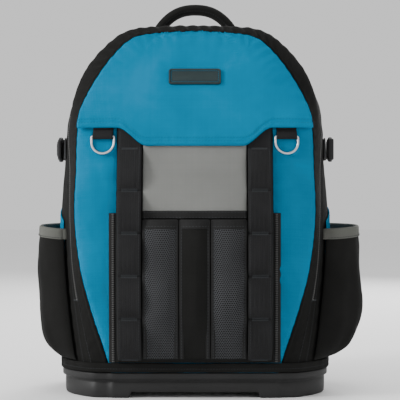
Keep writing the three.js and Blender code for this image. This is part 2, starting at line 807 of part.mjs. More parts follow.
function baseTray() {
  const top = records[0].height * bodyHeight - seamGap;
  const lipLow = top - baseLipHeight;
  const wallOut = -baseWallIn;
  const tray = toManifold(bandBody([
    planAt(wallOut - baseToeRadius, 0),
    planAt(wallOut, baseToeRadius),
    planAt(wallOut, lipLow - baseLipSlope),
    planAt(baseLipOut, lipLow),
    planAt(baseLipOut, top),
    planAt(baseInner, top),
    planAt(baseInner, 0),
  ]));
  const channel = new THREE.BoxGeometry(2 * baseRecessHalf, 2 * bodyDepth, 2 * baseRecessHeight);
  return fromManifold(tray.subtract(toManifold(channel)));
}

// A plate that fills the base's plan between two heights
function basePlate(low, high) {
  return loftBody([planAt(baseInner - seamGap, low), planAt(baseInner - seamGap, high)]);
}

function baseFloor() {
  return basePlate(baseRecessHeight, baseRecessHeight + baseWall);
}

// Plan of the base's right-hand end beyond the recess, starting at the front cut
function footPlan(z) {
  const loop = planAt(baseInner - seamGap, z);
  return loop.flatMap((point, i) => {
    const next = loop[(i + 1) % loop.length];
    const kept = point.x > baseRecessHalf ? [point] : [];
    if ((point.x > baseRecessHalf) === (next.x > baseRecessHalf)) return kept;
    return [...kept, point.clone().lerp(next, (baseRecessHalf - point.x) / (next.x - point.x))];
  });
}

// The part of the base that reaches the ground under one end of the floor
function baseFoot(side) {
  const rings = [0, baseRecessHeight - seamGap].map((z) => {
    const plan = footPlan(z);
    return side > 0 ? plan : [plan[0], ...plan.slice(1).reverse()].map(mirrored);
  });
  return loftBody(rings);
}

// Back wall behind the rear seam, flat up to the arch
const rearSeam = records.map((record, k) => surfacePoint(k, 1));

function backPanel() {
  const grid = (lift) => rearSeam.map((seam) => spread(-1, 1, 9).map((s) => (
    new THREE.Vector3(s * seam.x, seam.y + seamGap + lift, seam.z))));
  return wallBody(grid(backWall), grid(0));
}

const backFace = frontSeamY + bodyDepth + seamGap + backWall;

// A crowned pad with rounded corners, its flat back on the back wall
function crownedPad(halfWidth, halfHeight, thick) {
  const around = 16;
  const power = 0.5;
  const bend = (v) => Math.sign(v) * Math.abs(v) ** power;
  const ring = (share, out) => range(around).map((i) => {
    const angle = (2 * Math.PI * i) / around;
    const x = halfWidth * share * bend(Math.cos(angle));
    const z = halfHeight * share * bend(Math.sin(angle));
    return new THREE.Vector3(x, out, z);
  });
  return loftBody([ring(0.96, 0), ring(1, thick * 0.35), ring(0.93, thick * 0.8), ring(0.7, thick)]);
}

// A strap of oblong section along a path, its width level and its face square to the path
function strapBody(path, widths, thicks, steps, level = new THREE.Vector3(1, 0, 0)) {
  const curve = new THREE.CatmullRomCurve3(path, false, 'centripetal');
  const rings = spread(0, 1, steps).map((share) => {
    const centre = curve.getPoint(share);
    const along = curve.getTangent(share);
    const wide = level.clone().addScaledVector(along, -level.dot(along)).normalize();
    const out = new THREE.Vector3().crossVectors(along, wide).normalize();
    const w = lerpTable(widths, share) / 2;
    const t = lerpTable(thicks, share) / 2;
    const corner = Math.min(t, w) * 0.6;
    const section = [
      [w, t - corner], [w - corner, t], [-w + corner, t], [-w, t - corner],
      [-w, -t + corner], [-w + corner, -t], [w - corner, -t], [w, -t + corner],
    ];
    return section.map(([a, b]) => centre.clone().addScaledVector(wide, a).addScaledVector(out, b));
  });
  return loftBody(rings);
}

const yokeFace = backFace + layGap + yokeThick;

function yokePlate() {
  const shape = new THREE.Shape();
  const half = (yokeTop - yokeBottom) / 2;
  shape.moveTo(-yokeHalf * 0.72, half);
  shape.lineTo(-yokeHalf, -half * 0.7);
  shape.lineTo(-yokeHalf * 0.86, -half);
  shape.quadraticCurveTo(0, -half * 0.35, yokeHalf * 0.86, -half);
  shape.lineTo(yokeHalf, -half * 0.7);
  shape.lineTo(yokeHalf * 0.72, half);
  return plate(shape, yokeThick, 6);
}

// Carry handle: flat ends on the yoke, a padded grip that arches over the bag's top
function carryHandle() {
  const endY = yokeFace + layGap + 3;
  const gripY = endY + 4;
  const top = bodyHeight + handleRise;
  const right = [
    [handleHalf, endY, yokeTop - handleEndWidth],
    [handleHalf - 1, endY, yokeTop - handleEndWidth * 0.2],
    [handleHalf - 4, gripY, yokeTop + handleEndWidth * 0.6],
    [handleHalf * 0.75, gripY, top - handleRise * 0.62],
    [handleHalf * 0.48, gripY, top - handleRise * 0.24],
    [handleHalf * 0.2, gripY, top - 3],
  ];
  const path = [
    ...right.map(([x, y, z]) => new THREE.Vector3(x, y, z)),
    ...right.slice().reverse().map(([x, y, z]) => new THREE.Vector3(-x, y, z)),
  ];
  const widths = [
    [0, handleEndWidth], [0.13, handleEndWidth], [0.24, handleWidth],
    [0.76, handleWidth], [0.87, handleEndWidth], [1, handleEndWidth],
  ];
  const thicks = [
    [0, handleEndThick], [0.13, handleEndThick + layGap], [0.24, handleThick],
    [0.76, handleThick], [0.87, handleEndThick + layGap], [1, handleEndThick],
  ];
  return handleLoft(path, widths, thicks, 17);
}

// The handle's width turns from level at its ends to fore-and-aft over the grip
function handleLoft(path, widths, thicks, steps) {
  const curve = new THREE.CatmullRomCurve3(path, false, 'centripetal');
  const rings = spread(0, 1, steps).map((share) => {
    const centre = curve.getPoint(share);
    const along = curve.getTangent(share);
    const side = new THREE.Vector3(0, 1, 0).addScaledVector(along, -along.y).normalize();
    const out = new THREE.Vector3().crossVectors(along, side).normalize();
    const grip = THREE.MathUtils.smoothstep(Math.min(share, 1 - share), 0.1, 0.26);
    const w = lerpTable(widths, share) / 2;
    const t = lerpTable(thicks, share) / 2;
    return range(10).map((i) => {
      const angle = (2 * Math.PI * i) / 10;
      const a = THREE.MathUtils.lerp(t, w, grip) * Math.cos(angle);
      const b = THREE.MathUtils.lerp(w, t, grip) * Math.sin(angle);
      return centre.clone().addScaledVector(side, a).addScaledVector(out, b);
    });
  });
  return loftBody(rings);
}

// Shoulder strap: sewn to the yoke, bowed away from the back, down to its ladder lock. x is a share
// of bodyHalfWidth, off of strapReach and z of bodyHeight.
const strapRoute = [
  { x: 0.272, off: 0.012, z: 0.893 },
  { x: 0.284, off: 0.12, z: 0.866 },
  { x: 0.321, off: 0.62, z: 0.802 },
  { x: 0.389, off: 0.96, z: 0.683 },
  { x: 0.469, off: 1, z: 0.547 },
  { x: 0.543, off: 0.86, z: 0.433 },
  { x: 0.599, off: 0.62, z: 0.346 },
];
const strapSeat = yokeFace + layGap + strapThick / 2;

function strapPoint(side, row) {
  return new THREE.Vector3(side * row.x * bodyHalfWidth, strapSeat + row.off * strapReach, row.z * bodyHeight);
}

function shoulderStrap(side) {
  const path = strapRoute.map((row) => strapPoint(side, row));
  const widths = [[0, strapWidth * 0.9], [0.2, strapWidth], [0.8, strapWidth * 0.94], [1, strapWidth * 0.62]];
  const thicks = [[0, strapThick], [0.9, strapThick], [1, strapThick * 0.5]];
  return strapBody(path, widths, thicks, 14);
}

const strapEnd = strapRoute[strapRoute.length - 1];
const webFoot = { x: 0.765 * bodyHalfWidth, z: 0.132 * bodyHeight };

function strapWebbing(side) {
  const start = strapPoint(side, strapEnd);
  const foot = new THREE.Vector3(side * webFoot.x, backFace + layGap + webbingThick / 2, webFoot.z);
  const low = new THREE.Vector3(side * (webFoot.x + 1), foot.y, webFoot.z - 12);
  const away = foot.clone().sub(start).normalize();
  const path = [
    start.clone().addScaledVector(away, lockLength + 2.2),
    start.clone().lerp(foot, 0.55),
    foot,
    low,
  ];
  return strapBody(path, [[0, strapWeb], [1, strapWeb]], [[0, webbingThick], [1, webbingThick]], 7);
}

function ladderLock(side) {
  const start = strapPoint(side, strapEnd);
  const foot = new THREE.Vector3(side * webFoot.x, backFace + layGap + webbingThick / 2, webFoot.z);
  const away = foot.clone().sub(start).normalize();
  const path = [2, lockLength / 2, lockLength + 1.2].map((d) => start.clone().addScaledVector(away, d));
  return strapBody(path, [[0, lockWidth], [1, lockWidth * 0.86]], [[0, lockThick], [1, lockThick * 0.8]], 4);
}

// Zip slider and its cord pull, lying along the zip near the top of the arch
function archFrame(k, share, lift) {
  const point = surfacePoint(k, 0.5).lerp(surfacePoint(k + 1, 0.5), share);
  const normal = surfaceNormal(k, 0.5).lerp(surfaceNormal(k + 1, 0.5), share).normalize();
  const along = surfacePoint(k, 0.5).sub(surfacePoint(k + 1, 0.5));
  along.addScaledVector(normal, -along.dot(normal)).normalize();
  const across = new THREE.Vector3().crossVectors(normal, along);
  const matrix = new THREE.Matrix4().makeBasis(along, across, normal);
  matrix.setPosition(point.addScaledVector(normal, lift));
  return matrix;
}

const sliderStation = topStation - 2;
const sliderShare = 0.82;

function zipSlider(side) {
  const half = { x: sliderLength / 2, y: sliderWidth / 2 };
  const shape = new THREE.Shape();
  shape.moveTo(-half.x, -half.y * 0.55);
  shape.quadraticCurveTo(0, -half.y * 1.1, half.x, -half.y);
  shape.lineTo(half.x, half.y);
  shape.quadraticCurveTo(0, half.y * 1.1, -half.x, half.y * 0.55);
  const geometry = new THREE.ExtrudeGeometry(shape, { depth: sliderThick, bevelEnabled: false, curveSegments: 4 });
  return placedOnArch(geometry, side, sliderLift, 0);
}

function zipPull(side) {
  const shape = roundedRectangle(pullLength, pullWidth, pullWidth * 0.4);
  const geometry = new THREE.ExtrudeGeometry(shape, { depth: pullThick, bevelEnabled: false, curveSegments: 3 });
  return placedOnArch(geometry, side, sliderLift, sliderLength / 2 + pullLength / 2 + seamGap);
}

// Both halves of the arch carry the same pieces, mirrored
function placedOnArch(geometry, side, lift, shift) {
  const body = geometry.translate(shift, 0, 0).applyMatrix4(archFrame(sliderStation, sliderShare, lift));
  if (side > 0) return body;
  const position = body.getAttribute('position');
  const points = range(position.count).map((i) => (
    mirrored(new THREE.Vector3().fromBufferAttribute(position, i))));
  const triangles = range(position.count / 3).map((i) => [3 * i, 3 * i + 2, 3 * i + 1]);
  return closedBody(points, triangles);
}

// The assembly, moved so that its box stands centred over the origin
const backpack = new THREE.Group();
const widestLeft = bodyHalfWidth + sideBulgeLeft;
const widestRight = bodyHalfWidth + sideBulgeRight;
const rearmost = strapSeat + strapReach + strapThick / 2;
const foremost = frontSeamY - frontCrown - pocketDepth - pocketWall - loopBulge;
backpack.position.set((widestLeft - widestRight) / 2, -(rearmost + foremost) / 2, 0);

function addPiece(name, geometry, finish, parent = backpack) {
  const piece = new THREE.Mesh(geometry, new THREE.MeshStandardMaterial(finish));
  piece.name = name;
  parent.add(piece);
  return piece;
}

addPiece('base_tray', baseTray(), plastic);
addPiece('base_floor', baseFloor(), plastic);
addPiece('hem_band', hemBand(), black);
addPiece('front_panel', frontPanel(), blue);
addPiece('upper_panel', upperPanel(), blue);
addPiece('gusset_front', gussetFront(), black);
addPiece('zip_main', zipMain(), webbing);
addPiece('gusset_rear', gussetRear(), black);
addPiece('back_panel', backPanel(), black);
addPiece('pocket_front', pocketFront(), black);
addPiece('pocket_grey_panel', greyPanel(), grey);
addPiece('pocket_binding', pocketBinding(), webbing);
addPiece('net_pocket_left', netPocket(-netHalf, -netMiddleHalf - 2), mesh);
addPiece('net_pocket_right', netPocket(netMiddleHalf + 2, netHalf), mesh);
addPiece('sleeve_middle', netPocket(-netMiddleHalf, netMiddleHalf), black);

const patchFrame = frontFrame(0, patchZ, (x, z) => flapLift(x, z) + flapWall + layGap * 1.6);
backpack.add(patchFrame);
addPiece('label_patch', labelPatch(), rubber, patchFrame);

const backPads = [
  { name: 'back_pad_left', x: -backPadCentreX, z: backPadCentreZ, half: [backPadHalfWidth, backPadHalfHeight] },
  { name: 'back_pad_right', x: backPadCentreX, z: backPadCentreZ, half: [backPadHalfWidth, backPadHalfHeight] },
  { name: 'back_pad_lumbar', x: 0, z: lumbarCentreZ, half: [lumbarHalfWidth, lumbarHalfHeight] },
];
for (const pad of backPads) {
  const piece = addPiece(pad.name, crownedPad(...pad.half, backPadThick), mesh);
  piece.position.set(pad.x, backFace + layGap, pad.z);
}

const yoke = addPiece('strap_yoke', yokePlate(), black);
yoke.position.set(0, yokeFace, (yokeTop + yokeBottom) / 2);
addPiece('carry_handle', carryHandle(), black);

const sides = [
  { name: 'left', side: -1, bulge: sideBulgeLeft, profile: sideProfileLeft },
  { name: 'right', side: 1, bulge: sideBulgeRight, profile: sideProfileRight },
];
for (const { name, side, bulge, profile } of sides) {
  addPiece(`base_foot_${name}`, baseFoot(side), plastic);
  addPiece(`tool_loops_${name}`, toolLoops(side), webbing);
  addPiece(`side_pocket_${name}`, sidePocket(side, bulge, profile), black);
  addPiece(`pocket_rim_${name}`, pocketRim(side, bulge, profile), grey);
  addPiece(`side_patch_${name}`, sidePatch(side), blue);
  addPiece(`side_strap_${name}`, sideStrap(side), webbing);
  const buckleFrame = sideFrame(side, sideStrapZ, 0.78, layGap + webbingThick + buckleLift);
  backpack.add(buckleFrame);
  addPiece(`side_buckle_${name}`, sideBuckle(), plastic, buckleFrame);
  const ringFrame = frontFrame(side * ringX, ringZ, () => tabLift);
  backpack.add(ringFrame);
  addPiece(`ring_tab_${name}`, ringTab(), webbing, ringFrame);
  addPiece(`d_ring_${name}`, dRing(), steel, ringFrame);
  addPiece(`shoulder_strap_${name}`, shoulderStrap(side), mesh);
  addPiece(`ladder_lock_${name}`, ladderLock(side), plastic);
  addPiece(`strap_web_${name}`, strapWebbing(side), webbing);
  addPiece(`zip_slider_${name}`, zipSlider(side), steel);
  addPiece(`zip_pull_${name}`, zipPull(side), blue);
}

export default backpack;
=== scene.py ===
import json
import math

import bpy
import numpy as np
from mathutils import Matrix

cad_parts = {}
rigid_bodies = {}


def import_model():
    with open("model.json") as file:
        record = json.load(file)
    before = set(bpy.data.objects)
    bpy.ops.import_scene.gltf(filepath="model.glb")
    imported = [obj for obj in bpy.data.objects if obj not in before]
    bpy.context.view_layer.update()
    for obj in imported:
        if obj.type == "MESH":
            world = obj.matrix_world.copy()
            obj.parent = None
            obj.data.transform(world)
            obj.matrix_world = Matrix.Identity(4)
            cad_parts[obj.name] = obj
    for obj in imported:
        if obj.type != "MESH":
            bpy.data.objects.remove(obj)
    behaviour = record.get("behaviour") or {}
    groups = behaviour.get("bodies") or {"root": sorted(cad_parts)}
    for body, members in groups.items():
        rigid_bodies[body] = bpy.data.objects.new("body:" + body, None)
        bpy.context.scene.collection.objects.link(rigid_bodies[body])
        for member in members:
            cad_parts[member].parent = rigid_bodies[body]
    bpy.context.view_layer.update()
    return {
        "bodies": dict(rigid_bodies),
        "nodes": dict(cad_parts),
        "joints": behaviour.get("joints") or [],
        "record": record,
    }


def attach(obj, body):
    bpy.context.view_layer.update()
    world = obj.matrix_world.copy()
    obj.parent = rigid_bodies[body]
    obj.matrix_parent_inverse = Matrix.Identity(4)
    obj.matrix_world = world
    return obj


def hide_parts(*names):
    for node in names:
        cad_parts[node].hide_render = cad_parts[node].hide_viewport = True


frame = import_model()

MM = 0.001
SHIFT = np.array([-6.5, -10.65, 0.0])

# Bag body
BODY_HEIGHT = 439
BODY_HALF = 162
BODY_DEPTH = 175
SEAM_Y = -92
CROWN = 10
WALL = 2.5
SEAM_GAP = 0.3
LAY_GAP = 0.5
BACK_WALL = 4
BACK_FACE = SEAM_Y + BODY_DEPTH + SEAM_GAP + BACK_WALL
ZIP_HALF = 8
ZIP_END = 110

# Front pieces
FLAP_WALL = 2.5
FLAP_Z = 312.4
FLAP_FADE = 46
FRONT_TOP = 352
FLAP_DIP = 21.4
DIP_INNER = 55
DIP_OUTER = 90
POCKET_HALF = 90
POCKET_BOTTOM = 42.2
POCKET_TOP = 317
POCKET_DEPTH = 17
POCKET_WALL = 2
GREY_BOTTOM = 217
BINDING_HEIGHT = 8
NET_TOP = 206
NET_BOTTOM = 47
NET_HALF = 59
NET_MIDDLE = 17
NET_BULGE = 7
FACE_THICK = 1.3
LOOP_WIDTH = 26
LOOP_X = 74.5
LOOP_COUNT = 5
LOOP_BULGE = 9
LOOP_ROWS = 260
LOOP_BOTTOM = NET_BOTTOM - 2
LOOP_TOP = FLAP_Z - FLAP_DIP - 2
WEBBING = 1.6
PATCH_WIDTH = 61
PATCH_HEIGHT = 20.4
PATCH_Z = 372.5

# D-rings and their tabs. The ring hinges on its bar, which is the frame's origin.
RING_WIRE = 1.45
RING_HALF = 13.15
RING_CORNER = 1.5
RING_SIDE = 6.5
RING_X = 106
RING_Y = -94.2
RING_Z = 302.5
RING_ACROSS = (0.994036, -0.109056)
TAB_WIDTH = 22.4
TAB_PLY = 1.3
TAB_TOP = 13
TAB_COVER = (322, 350)

# Side pockets and straps
SIDE_BOTTOM = 42.5
SIDE_TOP = 198
SIDE_DIP = 5
SIDE_BULGE = {"left": 25.5, "right": 38.5}
RIM_HEIGHT = 10.5
POUCH_FRONT = 0.6
POUCH_REAR = 0.965
SIDE_STRAP_Z = 291
SIDE_STRAP_WIDTH = 25
BUCKLE_SHARE = 0.78

# Base and the band above it
FOOT = 0.068 * BODY_HEIGHT
HEM_HEIGHT = 11.5
RECESS_HALF = 76
RECESS_HEIGHT = 6.5

# Back, straps and handle
YOKE_FACE = BACK_FACE + LAY_GAP + 4
STRAP_THICK = 12
STRAP_SEAT = YOKE_FACE + LAY_GAP + STRAP_THICK / 2
STRAP_REACH = 47
STRAP_WIDTH = 62
YOKE_TOP = 0.959 * BODY_HEIGHT
YOKE_BOTTOM = 0.838 * BODY_HEIGHT
YOKE_HALF = 0.494 * BODY_HALF
HANDLE_HALF = 58
HANDLE_RISE = 38
HANDLE_TOP = BODY_HEIGHT + HANDLE_RISE
WEB_HALF = 12.5
PAD_THICK = 13

# Back pads: name, centre x and z, half width and half height, as shares
BACK_PADS = [
    ("back_pad_left", -0.321, 0.542, 0.247, 0.268),
    ("back_pad_right", 0.321, 0.542, 0.247, 0.268),
    ("back_pad_lumbar", 0, 0.191, 0.593, 0.066),
]

# Cloth pressure on the pads and shoulder straps
PRESSURE = 4
FRAMES = 20
SWELL_LIMIT = 0.9

# Stations of the arch: height, half, insets a m b n e, depths ya yb yn ye, crown, as shares
STATIONS = [
    (0.068, 0.957, 0.364, 0.285, 0.215, 0, 0.03, 0, 0.035, 0.3, 1, 0),
    (0.137, 0.968, 0.315, 0.24, 0.18, 0, 0.03, 0, 0.06, 0.36, 1, 0.45),
    (0.228, 0.982, 0.245, 0.185, 0.14, 0, 0.03, 0, 0.12, 0.42, 1, 0.8),
    (0.342, 0.992, 0.175, 0.13, 0.098, 0, 0.035, 0, 0.19, 0.48, 1, 1),
    (0.478, 1, 0.142, 0.108, 0.084, 0, 0.035, 0, 0.23, 0.5, 1, 1),
    (0.604, 0.978, 0.13, 0.09, 0.06, 0, 0.035, 0.01, 0.25, 0.5, 1, 1),
    (0.711, 0.963, 0.124, 0.07, 0.035, 0, 0.035, 0.035, 0.27, 0.52, 1, 0.95),
    (0.772, 0.935, 0.124, 0.045, 0.028, 0, 0.037, 0.065, 0.31, 0.56, 1, 0.9),
    (0.825, 0.884, 0.127, 0.025, 0.028, 0.003, 0.04, 0.1, 0.35, 0.6, 1, 0.8),
    (0.877, 0.811, 0.13, 0.012, 0.03, 0.006, 0.045, 0.14, 0.39, 0.64, 1, 0.65),
    (0.92, 0.719, 0.117, 0.004, 0.03, 0.01, 0.05, 0.18, 0.42, 0.66, 1, 0.5),
    (0.95, 0.636, 0.105, 0, 0.03, 0.012, 0.05, 0.205, 0.44, 0.68, 0.995, 0.36),
    (0.975, 0.55, 0.094, 0, 0.03, 0.012, 0.05, 0.225, 0.45, 0.69, 0.99, 0.22),
    (0.991, 0.44, 0.078, 0, 0.03, 0.012, 0.05, 0.245, 0.46, 0.7, 0.985, 0.1),
    (0.998, 0.22, 0.066, 0, 0.03, 0.012, 0.05, 0.255, 0.47, 0.7, 0.98, 0.04),
    (1, 0, 0.062, 0, 0.03, 0.012, 0.05, 0.26, 0.48, 0.7, 0.98, 0),
]
TOP = len(STATIONS) - 1
POCKET_PROFILE = [
    (0, 0.14), (0.05, 0.45), (0.14, 0.78), (0.28, 1), (0.45, 0.97), (0.62, 0.78), (0.76, 0.45),
    (0.87, 0.1), (0.905, 0), (1, 0),
]
SIDE_PROFILE = {
    "left": [(0, 0.02), (0.04, 0.34), (0.1, 0.66), (0.18, 0.86), (0.3, 0.96), (0.5, 1), (0.75, 1), (1, 0.97)],
    "right": [(0, 0.02), (0.04, 0.4), (0.1, 0.7), (0.2, 0.88), (0.32, 0.98), (0.4, 1), (0.65, 0.94),
              (1, 0.88)],
}
STRAP_ROUTE = [
    (0.272, 0.012, 0.893), (0.284, 0.12, 0.866), (0.321, 0.62, 0.802), (0.389, 0.96, 0.683),
    (0.469, 1, 0.547), (0.543, 0.86, 0.433), (0.599, 0.62, 0.346),
]
WEB_FOOT = (0.765, 0.132)


# Numbers

def unit(v):
    length = np.linalg.norm(v, axis=-1, keepdims=True)
    return v / np.maximum(length, 1e-9)


def smoothstep(x, low=0.0, high=1.0):
    t = np.clip((np.asarray(x, float) - low) / (high - low), 0, 1)
    return t * t * (3 - 2 * t)


def spline(points, at):
    """Centripetal curve through points, each span taking the same share of 0 to 1."""
    points = np.asarray(points, float)
    n = len(points)
    ends = np.concatenate([[2 * points[0] - points[1]], points, [2 * points[-1] - points[-2]]])
    gaps = np.maximum(np.linalg.norm(np.diff(ends, axis=0), axis=-1, keepdims=True) ** 0.5, 1e-3)
    at = np.clip(np.asarray(at, float), 0, 1) * (n - 1)
    i = np.minimum(at.astype(int), n - 2)
    t = (at - i).reshape(-1, *([1] * (points.ndim - 1)))
    p0, p1, p2, p3 = ends[i], ends[i + 1], ends[i + 2], ends[i + 3]
    d0, d1, d2 = gaps[i], gaps[i + 1], gaps[i + 2]
    m1 = ((p1 - p0) / d0 - (p2 - p0) / (d0 + d1) + (p2 - p1) / d1) * d1
    m2 = ((p2 - p1) / d1 - (p3 - p1) / (d1 + d2) + (p3 - p2) / d2) * d1
    return p1 + m1 * t + (3 * p2 - 3 * p1 - 2 * m1 - m2) * t**2 + (2 * p1 - 2 * p2 + m1 + m2) * t**3


def smooth_table(table, x):
    dense = spline(table, np.linspace(0, 1, 240))
    return np.interp(x, np.maximum.accumulate(dense[:, 0]), dense[:, 1])


def arc(line):
    return np.concatenate([[0], np.cumsum(np.linalg.norm(np.diff(line, axis=0), axis=-1))])


def resample(line, count):
    """The same line, as count points at even steps."""
    along = arc(line)
    at = np.linspace(0, along[-1], count)
    return np.stack([np.interp(at, along, line[:, i]) for i in range(line.shape[1])], -1)


def closed(line):
    return np.concatenate([line, line[:1]])


def even_loop(corners, count):
    """A closed outline through corners, at even steps."""
    return resample(closed(np.asarray(corners, float)), count)[:-1]


def noise(u, v, seed):
    """Smooth noise from -1 to 1 over cells of size 1."""
    table = np.random.default_rng(seed).uniform(-1, 1, (97, 97))
    u, v = np.broadcast_arrays(np.asarray(u, float), np.asarray(v, float))
    i, j = np.floor(u).astype(int), np.floor(v).astype(int)
    fu, fv = smoothstep(u - i), smoothstep(v - j)
    low = table[i % 97, j % 97] * (1 - fu) + table[(i + 1) % 97, j % 97] * fu
    high = table[i % 97, (j + 1) % 97] * (1 - fu) + table[(i + 1) % 97, (j + 1) % 97] * fu
    return low * (1 - fv) + high * fv


def rumple(u, v, size, seed):
    """Soft folds of several sizes."""
    return sum(noise(u / (size / 2**k), v / (size / 2**k), seed + k) / 2**k for k in range(3))


def bell(x, width):
    """1 where x is 0, falling off on both sides of it."""
    return np.exp(-(x / width) ** 2)


def clear(off, reach):
    """0 at a seam, rising to 1 away from it."""
    return 1 - np.exp(-off / reach)


def puckers(along, off, wave, reach, seed):
    """Gathers that run out of a seam: along it, and off it."""
    warp = noise(along / (3.1 * wave), 0.5, seed)
    swell = 0.65 + 0.35 * noise(along / (2.3 * wave), 3.5, seed + 1)
    fan = 0.25 * noise(along / wave, off / reach, seed + 2)
    return np.sin(2 * np.pi * (along / wave + 0.45 * warp + fan)) * swell * np.exp(-off / reach)


def near(points, line):
    """Distance from each point to a line, and how far along the line that is."""
    flat = points.reshape(-1, 3)
    along = arc(line)
    distance, place = np.empty(len(flat)), np.empty(len(flat))
    for start in range(0, len(flat), 3000):
        part = flat[start:start + 3000]
        gaps = np.linalg.norm(part[:, None] - line[None], axis=-1)
        found = gaps.argmin(1)
        distance[start:start + 3000] = gaps[np.arange(len(part)), found]
        place[start:start + 3000] = along[found]
    shape = points.shape[:-1]
    return distance.reshape(shape), place.reshape(shape)


# The arch: one surface from left foot over the top to right foot, and from front seam to rear seam

def outline_point(k):
    row = STATIONS[min(k, 2 * TOP - k)]
    return np.array([(-1 if k > TOP else 1) * row[1] * BODY_HALF, row[0] * BODY_HEIGHT])


def inward(k):
    along = outline_point(k + 1) - outline_point(max(k - 1, 0))
    square = unit(np.array([-along[1], along[0]]))
    tilt = smoothstep(STATIONS[k][0], 0.7, 0.83)
    return unit(np.array([-1.0, 0.0]) * (1 - tilt) + square * tilt)


def station_place(k, inset, depth, back=0.0):
    outline, direction = outline_point(k), inward(k)
    return [
        outline[0] + direction[0] * inset * BODY_HALF,
        SEAM_Y + depth * BODY_DEPTH + back,
        outline[1] + direction[1] * inset * BODY_HALF,
    ]


def station_points(k):
    _, _, a, m, b, n, e, ya, yb, yn, ye, _ = STATIONS[k]
    return [
        station_place(k, a, ya, WALL + SEAM_GAP),
        station_place(k, m, (ya + yb) / 2),
        station_place(k, b, yb),
        station_place(k, n, yn),
        station_place(k, e, ye),
    ]


A_STEPS, W_STEPS = 900, 140
half_arch = np.array([spline(station_points(k), np.linspace(0, 1, W_STEPS + 1)) for k in range(TOP + 1)])
ARCH = spline(np.concatenate([half_arch * (-1, 1, 1), half_arch[-2::-1]]), np.linspace(0, 1, A_STEPS + 1))
ARCH_NORMAL = unit(np.cross(np.gradient(ARCH, axis=0), np.gradient(ARCH, axis=1)))
if ARCH_NORMAL[A_STEPS // 2, W_STEPS // 2, 2] < 0:
    ARCH_NORMAL = -ARCH_NORMAL


def sample(grid, a, w):
    a, w = np.broadcast_arrays(np.asarray(a, float), np.asarray(w, float))
    x, y = np.clip(a, 0, 1) * A_STEPS, np.clip(w, 0, 1) * W_STEPS
    i, j = np.minimum(x.astype(int), A_STEPS - 1), np.minimum(y.astype(int), W_STEPS - 1)
    fx, fy = (x - i)[..., None], (y - j)[..., None]
    low = grid[i, j] * (1 - fx) + grid[i + 1, j] * fx
    high = grid[i, j + 1] * (1 - fx) + grid[i + 1, j + 1] * fx
    return low * (1 - fy) + high * fy


def arch_places(count):
    """Shares of the arch at even steps along the zip."""
    dense = np.linspace(0, 1, 1200)
    along = arc(sample(ARCH, dense, 0.5))
    return np.interp(np.linspace(0, along[-1], count), along, dense)


def zip_share(a, length):
    speed = np.linalg.norm(sample(ARCH, a, 0.52) - sample(ARCH, a, 0.48), axis=-1) / 0.04
    return length / speed


def side_point(side, z, w):
    """Points and level outward normals of the side wall at heights z (rows, cols) and shares w (cols)."""
    shares = np.linspace(0, 0.5, 500)
    points, normals = np.empty(z.shape + (3,)), np.empty(z.shape + (3,))
    for j, share in enumerate(w):
        heights = np.maximum.accumulate(sample(ARCH, shares, share)[:, 2])
        a = np.interp(z[:, j], heights, shares)
        points[:, j] = sample(ARCH, a, share)
        normals[:, j] = sample(ARCH_NORMAL, a, share)
    points[..., 2] = z
    normals[..., 2] = 0
    if side > 0:
        points[..., 0] *= -1
        normals[..., 0] *= -1
    return points, unit(normals)


# The front wall
seam_rows = [station_place(k, row[2], row[7]) + [row[11] * CROWN] for k, row in enumerate(STATIONS)]
SEAM = spline(seam_rows, np.linspace(0, 1, 600))
SEAM[:, 2] = np.maximum.accumulate(SEAM[:, 2] + np.arange(600) * 1e-6)
SEAM_LINE = np.concatenate([SEAM[:, :3] * (-1, 1, 1), SEAM[-2::-1, :3]])


def front_half(z):
    return np.interp(z, SEAM[:, 2], SEAM[:, 0])


def front_y(x, z):
    half = np.maximum(front_half(z), 1e-6)
    share = np.minimum(np.abs(x) / half, 1)
    return np.interp(z, SEAM[:, 2], SEAM[:, 1]) - np.interp(z, SEAM[:, 2], SEAM[:, 3]) * (1 - share**2)


def front_point(x, z, lift):
    x, z, lift = np.broadcast_arrays(x, z, lift)
    return np.stack([x, front_y(x, z) - lift, z], -1).astype(float)


def flap_edge(x):
    share = (DIP_OUTER - np.abs(x)) / (DIP_OUTER - DIP_INNER)
    return FLAP_Z - FLAP_DIP * smoothstep(share)


def flap_lift(z):
    stand = 2 * TAB_PLY + 3 * LAY_GAP
    return stand + (LAY_GAP - stand) * smoothstep(z, *TAB_COVER)


def pocket_lift(z):
    return POCKET_DEPTH * smooth_table(POCKET_PROFILE, (z - POCKET_BOTTOM) / (POCKET_TOP - POCKET_BOTTOM))


def on_pocket(z):
    return LAY_GAP + pocket_lift(z) + POCKET_WALL + LAY_GAP


# Meshes

def grid_normals(grid):
    return unit(np.cross(np.gradient(grid, axis=1), np.gradient(grid, axis=0)))


def grid_faces(rows, cols, start=0, flip=False):
    i = (np.arange(rows - 1)[:, None] * cols + np.arange(cols - 1)).reshape(-1)
    quads = np.stack([i, i + 1, i + cols + 1, i + cols], -1) + start
    return quads[:, ::-1] if flip else quads


def grid_uv(grid):
    """Lengths across and along the cloth, from its middle column and first row."""
    across = np.concatenate([np.zeros((grid.shape[0], 1)),
                             np.cumsum(np.linalg.norm(np.diff(grid, axis=1), axis=-1), axis=1)], 1)
    across -= across[:, grid.shape[1] // 2, None]
    along = np.concatenate([np.zeros((1, grid.shape[1])),
                            np.cumsum(np.linalg.norm(np.diff(grid, axis=0), axis=-1), axis=0)], 0)
    return np.stack([across, along], -1) * MM


